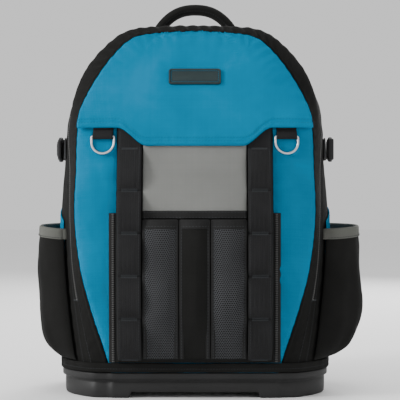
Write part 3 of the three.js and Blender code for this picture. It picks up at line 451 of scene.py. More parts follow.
def shell(grid, normals, thick, rim=0.3):
    """Closed cloth behind a grid of outer points, with a rounded rim."""
    rows, cols = grid.shape[:2]
    n = rows * cols
    flip = np.sum(grid_normals(grid) * normals) < 0
    index = np.arange(n).reshape(rows, cols)
    edge = np.concatenate([index[0, :-1], index[:-1, -1], index[-1, :0:-1], index[:0:-1, 0]])
    out = np.zeros_like(grid)
    out[0] += unit(grid[0] - grid[1])
    out[-1] += unit(grid[-1] - grid[-2])
    out[:, 0] += unit(grid[:, 0] - grid[:, 1])
    out[:, -1] += unit(grid[:, -1] - grid[:, -2])
    flat, flat_normal = grid.reshape(-1, 3), normals.reshape(-1, 3)
    middle = flat[edge] - flat_normal[edge] * thick / 2 + unit(out.reshape(-1, 3)[edge]) * thick * rim
    verts = np.concatenate([flat, flat - flat_normal * thick, middle])
    ring = np.arange(len(edge))
    after = (ring + 1) % len(edge)
    rim_out = np.stack([edge[after], edge[ring], 2 * n + ring, 2 * n + after], -1)
    rim_in = np.stack([2 * n + after, 2 * n + ring, n + edge[ring], n + edge[after]], -1)
    if flip:
        rim_out, rim_in = rim_out[:, ::-1], rim_in[:, ::-1]
    faces = np.concatenate([grid_faces(rows, cols, 0, flip), grid_faces(rows, cols, n, not flip), rim_out,
                            rim_in])
    uv = grid_uv(grid).reshape(-1, 2)
    uv = np.concatenate([uv, uv, uv[edge]])
    return verts, faces.tolist(), uv[faces.reshape(-1)]


def tube(rings, looped=False):
    """A body through rings of points, capped at both ends or looped."""
    rings = np.asarray(rings, float)
    rows, sides = rings.shape[:2]
    spans = rows if looped else rows - 1
    wrapped = np.concatenate([rings, rings[:, :1]], 1)
    if looped:
        wrapped = closed(wrapped)
    lengths = grid_uv(wrapped)
    i, j = np.meshgrid(np.arange(spans), np.arange(sides), indexing="ij")
    i, j = i.reshape(-1), j.reshape(-1)
    at = lambda r, c: (r % rows) * sides + c % sides
    faces = np.stack([at(i, j), at(i, j + 1), at(i + 1, j + 1), at(i + 1, j)], -1)
    uv = np.stack([lengths[i, j], lengths[i, j + 1], lengths[i + 1, j + 1], lengths[i + 1, j]], 1)
    faces, uv = faces.tolist(), uv.reshape(-1, 2)
    if not looped:
        first, last = list(range(sides))[::-1], list(range((rows - 1) * sides, rows * sides))
        faces += [first, last]
        uv = np.concatenate([uv, lengths[0, :sides][::-1], lengths[-1, :sides]])
    return rings.reshape(-1, 3), faces, uv


def join(parts):
    verts, faces, uv, start = [], [], [], 0
    for part_verts, part_faces, part_uv in parts:
        verts.append(part_verts)
        uv.append(part_uv)
        faces += [[i + start for i in face] for face in part_faces]
        start += len(part_verts)
    return np.concatenate(verts), faces, np.concatenate(uv)


def volume(mesh):
    mesh.calc_loop_triangles()
    corners = np.empty(len(mesh.loop_triangles) * 3, np.int32)
    mesh.loop_triangles.foreach_get("vertices", corners)
    places = np.empty(len(mesh.vertices) * 3)
    mesh.vertices.foreach_get("co", places)
    a, b, c = np.moveaxis(places.reshape(-1, 3)[corners.reshape(-1, 3)], 1, 0)
    return np.sum(a * np.cross(b, c))


def add(name, part, material, replaced=(), body="root"):
    verts, faces, uv = part
    mesh = bpy.data.meshes.new(name)
    mesh.from_pydata(((verts + SHIFT) * MM).tolist(), [], faces)
    layer = mesh.uv_layers.new(name="cloth")
    layer.data.foreach_set("uv", np.asarray(uv, np.float32).reshape(-1))
    mesh.polygons.foreach_set("use_smooth", [True] * len(mesh.polygons))
    mesh.materials.append(material)
    mesh.update()
    if volume(mesh) < 0:
        mesh.flip_normals()
    piece = bpy.data.objects.new(name, mesh)
    bpy.context.scene.collection.objects.link(piece)
    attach(piece, body)
    if replaced:
        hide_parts(*([replaced] if isinstance(replaced, str) else replaced))
    return piece


def puff(piece, held):
    """Swell a padded piece by cloth pressure between its held seams, with each move capped."""
    rest = np.empty(3 * len(piece.data.vertices))
    piece.data.vertices.foreach_get("co", rest)
    group = piece.vertex_groups.new(name="seams")
    group.add(np.flatnonzero(held).tolist(), 1.0, "REPLACE")
    cloth = piece.modifiers.new("cloth", "CLOTH")
    cloth.settings.use_pressure = True
    cloth.settings.uniform_pressure_force = PRESSURE
    cloth.settings.effector_weights.gravity = 0
    cloth.settings.vertex_group_mass = "seams"
    cloth.settings.quality = 4
    cloth.collision_settings.use_collision = False
    cloth.point_cache.frame_start, cloth.point_cache.frame_end = 1, FRAMES
    for frame in range(1, FRAMES + 1):
        bpy.context.scene.frame_set(frame)
    swelled = piece.evaluated_get(bpy.context.evaluated_depsgraph_get()).to_mesh()
    moved = np.empty_like(rest)
    swelled.vertices.foreach_get("co", moved)
    piece.modifiers.remove(cloth)
    piece.vertex_groups.remove(group)
    bpy.context.scene.frame_set(1)
    move = (moved - rest).reshape(-1, 3)
    length = np.linalg.norm(move, axis=1, keepdims=True)
    move = move * np.minimum(1, SWELL_LIMIT * MM / np.maximum(length, 1e-9))
    piece.data.vertices.foreach_set("co", rest + move.ravel())
    piece.data.update()


def sweep(centre, wide, half_width, half_thick, power=0.6, sides=28):
    """Rings of an oblong section along a line: its width lies along `wide`."""
    centre = np.asarray(centre, float)
    along = unit(np.gradient(centre, axis=0))
    wide = np.broadcast_to(np.asarray(wide, float), centre.shape)
    wide = unit(wide - along * np.sum(wide * along, -1, keepdims=True))
    out = np.cross(along, wide)
    angle = np.linspace(0, 2 * np.pi, sides, endpoint=False) + np.pi / sides
    bend = lambda v: np.sign(v) * np.abs(v) ** power
    w = np.broadcast_to(half_width, len(centre))[:, None, None]
    t = np.broadcast_to(half_thick, len(centre))[:, None, None]
    return (centre[:, None] + wide[:, None] * w * bend(np.cos(angle))[None, :, None]
            + out[:, None] * t * bend(np.sin(angle))[None, :, None])


def stitches(line, normals, pitch=3.6, length=2.7, width=0.8, turned=False, sink=0.12):
    """Thread stitches on a line of surface points, or across it when turned."""
    along = arc(line)
    count = max(int(along[-1] / pitch), 2)
    at = (np.arange(count) + 0.5) * along[-1] / count
    centre = np.stack([np.interp(at, along, line[:, i]) for i in range(3)], -1)
    ahead = np.stack([np.interp(at + 0.3, along, line[:, i]) for i in range(3)], -1)
    behind = np.stack([np.interp(at - 0.3, along, line[:, i]) for i in range(3)], -1)
    up = unit(np.stack([np.interp(at, along, normals[:, i]) for i in range(3)], -1))
    run = unit(ahead - behind)
    side = unit(np.cross(up, run))
    if turned:
        run, side = side, run
    angle = np.linspace(0, 2 * np.pi, 5, endpoint=False) + 0.3
    ring = [(0.3, math.cos(q) * width / 2, math.sin(q) * width * 0.42) for q in angle]
    shape = ([(-0.5, 0, -sink * 2)] + [(-s, b, c - sink) for s, b, c in ring]
             + [(s, b, c - sink) for s, b, c in ring])
    shape = np.array(shape + [(0.5, 0, -sink * 2)]) * (length, 1, 1)
    verts = (centre[:, None] + run[:, None] * shape[None, :, :1] + side[:, None] * shape[None, :, 1:2]
             + up[:, None] * shape[None, :, 2:])
    faces = []
    for j in range(5):
        k = (j + 1) % 5
        faces += [[0, 1 + k, 1 + j], [11, 6 + j, 6 + k], [1 + j, 1 + k, 6 + k], [1 + j, 6 + k, 6 + j]]
    faces = np.array(faces)
    if turned:
        faces = faces[:, ::-1]
    all_faces = (faces[None] + 12 * np.arange(count)[:, None, None]).reshape(-1, 3)
    return verts.reshape(-1, 3), all_faces.tolist(), np.zeros((all_faces.size, 2))


def seams(grid, normals, columns, *look):
    """Stitches along some of a grid's columns."""
    return join([stitches(grid[:, j], normals[:, j], *look) for j in columns])


def tacks(grid, normals, rows, length=3):
    """Dense short stitches across a grid's rows, leaving out its edges."""
    return join([stitches(grid[j, 1:-1], normals[j, 1:-1], 0.9, length, 0.8, True, 0.0) for j in rows])


def wire(line, out, radius, sides, looped=False):
    """A round cord along a line in or near the x-z plane, where `out` is its outward direction."""
    angle = np.linspace(0, 2 * np.pi, sides, endpoint=False)[None, :, None]
    across = out[:, None] * np.cos(angle) + np.array([0, 1.0, 0]) * np.sin(angle)
    return tube(line[:, None] + radius * across, looped)


def band_axes(centre):
    """Directions of a band along a line: across it, and out of the bag's back."""
    along = unit(np.gradient(centre, axis=0))
    wide = unit(np.array([1.0, 0, 0]) - along * along[:, :1])
    out = np.cross(along, wide)
    return wide, out * np.sign(out[:, 1:2])


def slab(outline, low, high, bevel=0.6):
    """A plate from a plan outline (x, y), with softened edges, between two heights."""
    outline = np.asarray(outline, float)
    ahead, behind = np.roll(outline, -1, 0), np.roll(outline, 1, 0)
    along = unit(ahead - outline) + unit(outline - behind)
    out = unit(np.stack([along[:, 1], -along[:, 0]], -1))
    area = np.sum(outline[:, 0] * ahead[:, 1] - outline[:, 1] * ahead[:, 0])
    if area < 0:
        out = -out
    steps = [(bevel, low), (bevel * 0.3, low + bevel * 0.3), (0, low + bevel), (0, high - bevel),
             (bevel * 0.3, high - bevel * 0.3), (bevel, high)]
    rings = [np.concatenate([outline - out * inset, np.full((len(outline), 1), h)], 1) for inset, h in steps]
    if area < 0:
        rings = rings[::-1]
    return tube(rings)


def rounded(width, height, radius, steps=6):
    points = []
    for cx, cy, start in ((1, -1, -90), (1, 1, 0), (-1, 1, 90), (-1, -1, 180)):
        for q in np.linspace(start, start + 90, steps):
            points.append((cx * (width / 2 - radius) + radius * math.cos(math.radians(q)),
                           cy * (height / 2 - radius) + radius * math.sin(math.radians(q))))
    return points


def placed(part, origin, axes):
    """Moves a part from its own axes (rows: x, y, z) to the bag's frame."""
    verts, faces, uv = part
    return np.asarray(verts) @ np.asarray(axes, float) + np.asarray(origin, float), faces, uv


# Materials

def shaded(colour, factor=1.0):
    """A display colour as a linear one, made darker or lighter by a factor."""
    bare = [((c / 255 + 0.055) / 1.055) ** 2.4 if c > 10 else c / 3294.6 for c in colour]
    return [min(c * factor, 1) for c in bare] + [1.0]


class Shader:
    """A material's nodes, with short calls for the few kinds that are used."""

    def __init__(self, name):
        self.material = bpy.data.materials.new(name)
        self.material.use_nodes = True
        self.nodes = self.material.node_tree.nodes
        self.links = self.material.node_tree.links
        self.bsdf = self.nodes["Principled BSDF"]

    def plug(self, value, socket):
        if isinstance(value, bpy.types.NodeSocket):
            self.links.new(value, socket)
        elif value is not None:
            socket.default_value = value

    def node(self, kind, inputs, output=0, **settings):
        node = self.nodes.new("ShaderNode" + kind)
        for key, value in settings.items():
            setattr(node, key, value)
        for key, value in inputs.items():
            self.plug(value, node.inputs[key])
        return node.outputs[output]

    def math(self, operation, a, b=None):
        return self.node("Math", {0: a, 1: b}, operation=operation)

    def cloth_place(self, sizes):
        """Lengths of the UV map, counted in threads."""
        source = self.node("TexCoord", {}, "UV")
        shares = self.node("VectorMath", {0: source, 1: (*sizes, sizes[-1])}, operation="DIVIDE")
        split = self.nodes.new("ShaderNodeSeparateXYZ")
        self.plug(shares, split.inputs[0])
        return split.outputs[0], split.outputs[1]

    def noise(self, size, detail=3.0, stretch=(1, 1, 1)):
        source = self.node("TexCoord", {}, "Object")
        place = self.node("Mapping", {"Vector": source, "Scale": [s / size for s in stretch]})
        return self.node("TexNoise", {"Scale": 1.0, "Detail": detail, "Vector": place}, "Fac")

    def mix(self, factor, a, b):
        return self.node("Mix", {0: factor, 6: a, 7: b}, 2, data_type="RGBA")

    def blend(self, factor, a, b):
        return self.node("Mix", {0: factor, 2: a, 3: b})

    def bump(self, height, distance):
        inputs = {"Strength": 1.0, "Distance": distance, "Height": height}
        self.plug(self.node("Bump", inputs), self.bsdf.inputs["Normal"])

    def ramp(self, value, low, high):
        return self.node("MapRange", {"From Min": low, "From Max": high, "Value": value}, "Result")

    def colour(self, value):
        self.plug(value, self.bsdf.inputs["Base Color"])

    def hump(self, value):
        return self.math("ABSOLUTE", self.math("SINE", self.math("MULTIPLY", value, math.pi)))


def finish(shader, rough, metal=0.0, sheen=0.0, shine=0.5):
    shader.bsdf.inputs["Roughness"].default_value = rough
    shader.bsdf.inputs["Specular IOR Level"].default_value = shine
    shader.bsdf.inputs["Metallic"].default_value = metal
    shader.bsdf.inputs["Sheen Weight"].default_value = sheen
    if sheen:
        shader.bsdf.inputs["Sheen Roughness"].default_value = 0.5
    return shader.material


def woven(name, colour, pitch=(0.0007, 0.0008), depth=0.0003, shine=0.12, vary=0.2):
    """Plain weave: warp over weft by turns, each thread a little different, and broad wear; the gaps between
    threads are darkened as painted shade.
    """
    s = Shader(name)
    u, v = s.cloth_place(pitch)
    row, col = s.math("FLOOR", v), s.math("FLOOR", u)
    turn = s.math("PINGPONG", s.math("ADD", row, col), 1.0)
    height = s.blend(turn, s.hump(u), s.hump(v))
    which = s.blend(turn, s.math("ADD", col, 0.37), s.math("ADD", row, 91.7))
    random = s.node("TexWhiteNoise", {}, noise_dimensions="1D")
    s.plug(which, random.node.inputs["W"])
    wear = s.noise(0.05, 4.0)
    tone_and_painted_shade = s.math("ADD", s.math("MULTIPLY", random, 0.14), s.math("MULTIPLY", wear, 0.8))
    # painted shade: the colour is darkened where the weave is low, between the threads
    tone_and_painted_shade = s.math("MULTIPLY", tone_and_painted_shade, s.blend(0.45, height, 1.0))
    dark, light = shaded(colour, 1 - vary), shaded(colour, 1 + vary * 1.6)
    s.colour(s.mix(s.ramp(tone_and_painted_shade, 0.1, 0.8), dark, light))
    fold = s.noise(0.012, 3.0)
    s.bump(s.math("ADD", height, s.math("MULTIPLY", fold, 1.2)), depth)
    return finish(s, 0.85, 0.0, 0.0, shine)


def ribbed(name, colour, depth=0.0005):
    """Webbing: chevron ribs along it, with painted shade in the grooves between the ribs, and broad wear."""
    s = Shader(name)
    u, v = s.cloth_place((0.0026, 0.0011))
    turn = s.math("PINGPONG", u, 1.0)
    slant = s.math("ADD", v, s.math("MULTIPLY", turn, 1.6))
    height = s.math("MULTIPLY", s.hump(slant), s.blend(0.5, s.hump(u), 1.0))
    wear = s.noise(0.03, 4.0)
    # painted shade: darker in the grooves between the ribs, times broad wear
    tone_and_painted_shade = s.math("MULTIPLY", s.blend(0.5, height, 1.0), s.ramp(wear, 0.1, 0.9))
    s.colour(s.mix(tone_and_painted_shade, shaded(colour, 0.6), shaded(colour, 1.5)))
    s.bump(height, depth)
    return finish(s, 0.75, 0.0, 0.02, 0.15)


def netted(name, thread, gap, size=0.0026, depth=0.0009):
    """Knitted mesh: staggered holes between threads, painted dark as the shade seen through them."""
    s = Shader(name)
    u, v = s.cloth_place((size, size * 0.86))
    shifted = s.math("ADD", u, s.math("MULTIPLY", s.math("PINGPONG", s.math("FLOOR", v), 1.0), 0.5))
    hole = s.math("MULTIPLY", s.hump(shifted), s.hump(v))
    height = s.math("SUBTRACT", 1.0, s.ramp(hole, 0.35, 0.75))
    wear = s.noise(0.04, 3.0)
    light = s.mix(wear, shaded(thread, 0.75), shaded(thread, 1.25))
    # painted shade: the holes take the near-black gap colour, as shade seen through the mesh
    s.colour(s.mix(height, shaded(gap), light))
    s.bump(height, depth)
    return finish(s, 0.85, 0.0, 0.02, 0.12)


def moulded(name, colour, grain=0.0007, depth=0.00012):
    """Moulded plastic: fine grain, faint flow marks and rubbed places."""
    s = Shader(name)
    fine, wear = s.noise(grain, 2.0), s.noise(0.035, 5.0)
    dark, light = shaded(colour, 0.8), shaded(colour, 1.25)
    s.colour(s.mix(s.ramp(wear, 0.3, 0.75), dark, light))
    s.plug(s.ramp(wear, -1.2, 1.9), s.bsdf.inputs["Roughness"])
    s.bump(s.math("ADD", fine, s.math("MULTIPLY", wear, 0.6)), depth)
    s.bsdf.inputs["Metallic"].default_value = 0.0
    s.bsdf.inputs["Specular IOR Level"].default_value = 0.3
    return s.material


def metal(name, colour):
    s = Shader(name)
    scratch = s.noise(0.0016, 3.0, stretch=(1, 6, 1))
    wear = s.noise(0.006, 3.0)
    s.colour(s.mix(wear, shaded(colour, 0.75), shaded(colour)))
    s.plug(s.ramp(scratch, -0.6, 2.2), s.bsdf.inputs["Roughness"])
    s.bump(scratch, 0.00003)
    s.bsdf.inputs["Metallic"].default_value = 1.0
    return s.material


def knurled(name, colour):
    """Soft rubber with a fine diamond relief, with painted shade in the valleys of the relief."""
    s = Shader(name)
    u, v = s.cloth_place((0.0011, 0.0011))
    first, second = s.hump(s.math("ADD", u, v)), s.hump(s.math("SUBTRACT", u, v))
    height = s.math("MULTIPLY", first, second)
    wear = s.noise(0.01, 4.0)
    dark, light = shaded(colour, 0.6), shaded(colour, 1.4)
    # painted shade: half the tone comes from the relief height, darker in its valleys; the other half is wear
    s.colour(s.mix(s.blend(0.5, height, wear), dark, light))
    s.bump(height, 0.0003)
    return finish(s, 0.5, 0.0, 0.0, 0.3)


BLUE = (2, 128, 170)
blue_cloth = woven("blue_cloth", BLUE, shine=0.03)
black_cloth = woven("black_cloth", (31, 31, 30), shine=0.08, vary=0.3)
grey_cloth = woven("grey_cloth", (132, 133, 130), vary=0.15)
rim_cloth = woven("rim_cloth", (98, 99, 94), pitch=(0.0008, 0.0016), vary=0.2)
tape = ribbed("tape", (34, 34, 34), 0.0003)
webbing = ribbed("webbing", (32, 32, 33))
# the second colour of each mesh is painted shade in its holes
net = netted("net", (62, 63, 65), (14, 14, 15))
spacer = netted("spacer", (42, 43, 45), (12, 12, 13), 0.0034, 0.0014)
base_plastic = moulded("base_plastic", (30, 30, 30))
buckle_plastic = moulded("buckle_plastic", (30, 30, 31), grain=0.0005)
# painted highlight: the coil is coloured light grey, standing in for the highlights on a dark coil
coil_plastic = moulded("coil_plastic", (84, 84, 83), grain=0.0004)
rubber = knurled("rubber", (36, 52, 53))
blue_rubber = moulded("blue_rubber", (24, 128, 160), grain=0.0006)
steel = metal("steel", (214, 216, 219))
thread = woven("thread", (58, 60, 62), pitch=(0.0003, 0.0005), depth=0.0001)
blue_thread = woven("blue_thread", (22, 118, 150), pitch=(0.0003, 0.0005), depth=0.0001)


# Camera, floor and light
camera = bpy.data.objects.new("camera", bpy.data.cameras.new("camera"))
camera.data.lens = 123.75
camera.data.sensor_width = 36
camera.data.clip_end = 30
camera.location = (-0.0005, -1.69065, 0.2293)
camera.rotation_euler = (math.pi / 2, 0, 0)
bpy.context.scene.collection.objects.link(camera)
bpy.context.scene.camera = camera


def area_light(name, place, target, size, power):
    light = bpy.data.lights.new(name, "AREA")
    light.shape = "DISK"
    light.size = size
    light.energy = power
    lamp = bpy.data.objects.new(name, light)
    lamp.location = place
    gap = np.array(target) - np.array(place)
    lamp.rotation_euler = (math.acos(-gap[2] / np.linalg.norm(gap)), 0,
                           math.atan2(gap[1], gap[0]) - math.pi / 2)
    bpy.context.scene.collection.objects.link(lamp)


area_light("key", (-2.1, -0.9, 1.3), (0, 0, 0.25), 0.8, 58)
area_light("fill", (1.5, -1.8, 0.9), (0, 0, 0.25), 1.2, 4)
area_light("top", (0.0, 0.3, 1.9), (0, 0, 0.25), 1.0, 6)
area_light("rear", (0.6, 1.8, 1.2), (0, 0, 0.25), 1.2, 34)

world = bpy.data.worlds.new("studio")
world.use_nodes = True
world.node_tree.nodes["Background"].inputs[0].default_value = (1, 1, 1, 1)
world.node_tree.nodes["Background"].inputs[1].default_value = 0.85
bpy.context.scene.world = world

floor_steps = np.linspace(0, 2 * np.pi, 96, endpoint=False)
floor_rings = [np.stack([r * np.cos(floor_steps), r * np.sin(floor_steps), 0 * floor_steps], -1)
               for r in (0.5, 9.0)]
floor_verts = np.concatenate(floor_rings)
floor_faces = [[i, (i + 1) % 96, 96 + (i + 1) % 96, 96 + i] for i in range(96)] + [list(range(96))]
floor_mesh = bpy.data.meshes.new("floor")
floor_mesh.from_pydata(floor_verts.tolist(), [], [f if len(f) > 4 else f[::-1] for f in floor_faces])
floor_shader = Shader("floor")
floor_shader.plug(floor_shader.mix(floor_shader.noise(0.4), (0.9, 0.9, 0.9, 1), (0.93, 0.93, 0.93, 1)),
                  floor_shader.bsdf.inputs["Base Color"])
floor_mesh.materials.append(finish(floor_shader, 0.9))
floor = bpy.data.objects.new("floor", floor_mesh)
bpy.context.scene.collection.objects.link(floor)


# Front wall and the padded layer above it

def front_panel():
    seam = resample(SEAM[SEAM[:, 2] < FRONT_TOP], 125)
    share = np.sin(np.linspace(-1, 1, 115) * np.pi / 2)
    share = 0.6 * share + 0.4 * np.linspace(-1, 1, 115)
    x, z = share[None] * seam[:, :1], np.repeat(seam[:, 2:3], 115, 1)
    points = front_point(x, z, 0)
    off, along = near(points, SEAM_LINE)
    inner = np.abs(np.abs(x) - POCKET_HALF)
    relief = -1.1 * bell(off, 3) + 0.6 * puckers(along, off, 15, 13, 11)
    relief += np.where(np.abs(x) > POCKET_HALF, 1.6 * clear(off, 9) * clear(inner, 7), -0.6)
    relief += (0.7 * puckers(z, inner, 19, 12, 21)
               + 1.3 * rumple(x + 0.25 * z, z * 0.35, 30, 5) * clear(off, 8))
    points = points + grid_normals(points) * np.minimum(relief, 2.0)[..., None]
    return add("front_cloth", shell(points, grid_normals(points), WALL), blue_cloth,
               "front_panel")


def upper_grid(rows, cols):
    seam = resample(SEAM[SEAM[:, 2] > FLAP_Z], rows)
    share = np.linspace(-1, 1, cols)
    x = share[None] * seam[:, :1]
    z = seam[:, 2:3] + 0 * x
    return x, z - (FLAP_Z - flap_edge(x)) * (1 - np.clip((z - FLAP_Z) / FLAP_FADE, 0, 1))


def upper_relief(x, z, points):
    off, along = near(points, SEAM_LINE)
    edge = z - flap_edge(x)
    relief = 2.2 * clear(off, 12) - 1.0 * bell(off, 2.6)
    relief += 0.75 * puckers(along, off, 14, 15, 31)
    relief += 0.8 * rumple(x, z * 0.8, 62, 7) * clear(off, 12)
    relief -= 0.8 * bell(edge - 8, 1.5) + 1.2 * bell(edge, 2)
    relief += 0.35 * puckers(x, np.abs(edge - 8), 12, 7, 41)
    patch = np.maximum(np.abs(x) - PATCH_WIDTH / 2, np.abs(z - PATCH_Z) - PATCH_HEIGHT / 2)
    return relief * (1 - 0.8 * bell(np.maximum(patch, 0), 9)) + 0.5 * bell(np.maximum(patch, 0), 9)


def upper_point(x, z):
    points = front_point(x, z, flap_lift(z) + FLAP_WALL)
    return points + grid_normals(points) * upper_relief(x, z, points)[..., None]


def upper_panel():
    x, z = upper_grid(150, 171)
    points = upper_point(x, z)
    normals = grid_normals(points)
    piece = add("upper_cloth", shell(points, normals, FLAP_WALL, 0.45), blue_cloth,
                "upper_panel")
    rows = []
    for height in (6, 10):
        row_x = np.linspace(-1, 1, 400) * front_half(FLAP_Z)
        band_z = flap_edge(row_x)[None] + height + np.array([-1, 0, 1])[:, None]
        band = upper_point(np.repeat(row_x[None], 3, 0), band_z)
        rows.append(stitches(band[1], grid_normals(band)[1], width=0.75))
    add("upper_stitches", join(rows), blue_thread)
    return piece


# Side wall round the arch

def strip_points(rows, cols, low, high):
    a = arch_places(rows)[:, None]
    w = low(a) + (high(a) - low(a)) * np.linspace(0, 1, cols)[None]
    points, normals = sample(ARCH, a, w), sample(ARCH_NORMAL, a, w)
    middle = arc(sample(ARCH, a[:, 0], 0.5))[:, None]
    return points, normals, middle


def gussets():
    points, normals, along = strip_points(500, 16, lambda a: 0 * a,
                                                lambda a: 0.5 - zip_share(a, ZIP_HALF))
    off = np.linalg.norm(points - points[:, :1], axis=-1)
    to_zip = np.linalg.norm(points - points[:, -1:], axis=-1)
    relief = 1.3 * bell(off - 3.2, 2.0) - 0.9 * bell(off, 1.2)
    high = smoothstep(points[..., 2], 330, 420)
    gathers = (0.8 + 1.6 * high) * puckers(along + 0.6 * off, off, 14, 15, 31)
    relief += gathers * (1 - bell(off, 3)) + 0.7 * puckers(along, to_zip, 17, 9, 33)
    relief -= 0.4 * bell(to_zip, 2)
    points = points + normals * relief[..., None]
    add("gusset_front_cloth", shell(points, normals, WALL), black_cloth, "gusset_front")

    points, normals, along = strip_points(430, 46, lambda a: 0.5 + zip_share(a, ZIP_HALF),
                                                lambda a: 1 + 0 * a)
    to_zip = np.linalg.norm(points - points[:, :1], axis=-1)
    off = np.linalg.norm(points - points[:, -1:], axis=-1)
    high = smoothstep(points[..., 2], 190, 330)
    relief = -0.5 * bell(to_zip, 2) + 0.9 * puckers(along, to_zip, 18, 14, 35)
    relief += -0.9 * bell(off, 3) + 0.6 * puckers(along, off, 19, 15, 37)
    relief += (0.8 + 1.2 * high) * rumple(along, points[..., 1], 70, 9) * np.minimum(to_zip, off) / 30
    points = points + normals * np.clip(relief, -3, 3)[..., None]
    add("gusset_rear_cloth", shell(points, normals, WALL), black_cloth, "gusset_rear")


def main_zip():
    edge = ZIP_HALF - SEAM_GAP
    points, normals, along = strip_points(480, 17, lambda a: 0.5 - zip_share(a, edge),
                                                lambda a: 0.5 + zip_share(a, edge))
    across = np.linspace(-1, 1, 17)[None]
    relief = -0.7 + 0.5 * np.abs(across) ** 3 - 0.5 * bell(np.abs(across) - 0.42, 0.07)
    points = points + normals * (relief + 0 * along)[..., None]
    add("zip_tape_cloth", shell(points, normals, 1.2), black_cloth, "zip_main")
    zipped = np.flatnonzero(points[:, 8, 2] > ZIP_END)
    line, up = points[zipped, 8], normals[zipped, 8]
    add("zip_coil", stitches(line, up, 2.6, 4.8, 1.7, True, -0.1), coil_plastic)
    add("zip_end_tacks", tacks(points, normals, zipped[[0, -1]], 2.6), thread)
    add("zip_stitches", seams(points + normals * 0.1, normals, (2, 14)), thread)


# Front pocket and what is sewn on its face

def pocket_front():
    heights = np.linspace(POCKET_BOTTOM, POCKET_TOP, 150)
    x, off = [], []
    for depth in pocket_lift(heights) + POCKET_WALL:
        radius = min(5.0, depth * 0.7)
        turn = np.linspace(0, np.pi / 2, 8)
        half_x = np.concatenate([np.full(6, POCKET_HALF), POCKET_HALF - radius + radius * np.cos(turn[1:]),
                                 np.linspace(POCKET_HALF - radius, 0, 32)[1:]])
        half_off = np.concatenate([np.linspace(0, depth - radius, 6),
                                   depth - radius + radius * np.sin(turn[1:]),
                                   np.full(31, depth)])
        x.append(np.concatenate([-half_x, half_x[-2::-1]]))
        off.append(np.concatenate([half_off, half_off[-2::-1]]))
    x, off = np.array(x), np.array(off)
    z = np.repeat(heights[:, None], x.shape[1], 1)
    points = front_point(x, z, LAY_GAP + off)
    corner = np.abs(np.abs(x) - POCKET_HALF + 5)
    relief = 0.35 * puckers(z, corner, 13, 6, 51) * np.minimum(off / 4, 1) - 0.4 * bell(np.abs(x) - 86, 1.2)
    points = points + grid_normals(points) * relief[..., None]
    add("pocket_cloth", shell(points, grid_normals(points), 1.6), black_cloth, "pocket_front")


def face_layer(xs, zs, stand, thick=FACE_THICK):
    x, z = np.meshgrid(xs, zs)
    points = front_point(x, z, on_pocket(z) + thick + stand(x, z))
    return points, grid_normals(points)


def grey_panel():
    top = FLAP_Z - FLAP_DIP + 6
    def stand(x, z):
        edge = np.minimum(NET_HALF - np.abs(x), z - GREY_BOTTOM)
        tuck = smoothstep(z, top - 9, top - 4)
        return (0.5 * rumple(x, z, 40, 61) - 0.5 * bell(edge, 3)) * (1 - tuck) - 0.1 * tuck
    points, normals = face_layer(np.linspace(-NET_HALF, NET_HALF, 80), np.linspace(GREY_BOTTOM, top, 54),
                                 stand)
    add("grey_cloth", shell(points, normals, FACE_THICK), grey_cloth, "pocket_grey_panel")
    high = GREY_BOTTOM - LAY_GAP
    points, normals = face_layer(np.linspace(-NET_HALF, NET_HALF, 80),
                                 np.linspace(high - BINDING_HEIGHT, high, 9),
                                 lambda x, z: 0.5 + 0.2 * noise(x / 9, z / 9, 63))
    add("binding_cloth", shell(points, normals, FACE_THICK + 0.4), tape, "pocket_binding")
    rows = seams(np.swapaxes(points, 0, 1), np.swapaxes(normals, 0, 1), (1, 7))
    add("binding_stitches", rows, thread)


def net_stand(left, right, seed):
    def stand(x, z):
        across = np.clip((x - left) / (right - left), 0, 1)
        up = (z - NET_BOTTOM) / (NET_TOP - NET_BOTTOM)
        bulge = NET_BULGE * np.maximum(np.sin(np.pi * across), 0) ** 0.7 * smoothstep(up, 0, 0.35)
        folds = 0.9 * noise(x / 8, z / 60, seed) * (1 - up) + 0.6 * rumple(x, z, 30, seed + 3)
        return bulge + folds * np.sin(np.pi * across) * np.clip(up * 6, 0, 1)
    return stand


def net_pockets():
    panels = [
        ("net_left_cloth", -NET_HALF, -NET_MIDDLE - 2, net, "mesh_grey", "net_pocket_left", 71),
        ("net_right_cloth", NET_MIDDLE + 2, NET_HALF, net, "mesh_grey", "net_pocket_right", 75),
        ("sleeve_cloth", -NET_MIDDLE, NET_MIDDLE, black_cloth, "fabric_black", "sleeve_middle", 79),
    ]
    bands, threads = [], []
    for name, left, right, material, slot, node, seed in panels:
        stand = net_stand(left, right, seed)
        columns = (left + right) / 2 + (right - left) / 2 * np.sin(np.linspace(-1, 1, 42) * np.pi / 2)
        points, normals = face_layer(columns, np.linspace(NET_BOTTOM, NET_TOP, 120), stand)
        add(name, shell(points, normals, FACE_THICK), material, node)
        mouth = np.linspace(NET_TOP - 9, NET_TOP + 0.6, 9)
        points, normals = face_layer(columns, mouth, lambda x, z: stand(x, np.minimum(z, NET_TOP)) + 0.8)
        bands.append(shell(points, normals, FACE_THICK + 1.4))
        threads.append(stitches(points[2], normals[2]))
        for edge in (left + 2, right - 2):
            strip, up = face_layer(np.linspace(edge - 2.2, edge + 2.2, 5),
                                   np.linspace(NET_BOTTOM, NET_TOP, 90),
                                   lambda x, z: stand(np.full_like(x, edge), z) * 0.75 + 1.0)
            bands.append(shell(strip, up, 1.0))
            threads.append(stitches(strip[:, 2], up[:, 2]))
    add("net_bindings", join(bands), tape)
    add("net_stitches", join(threads), thread)


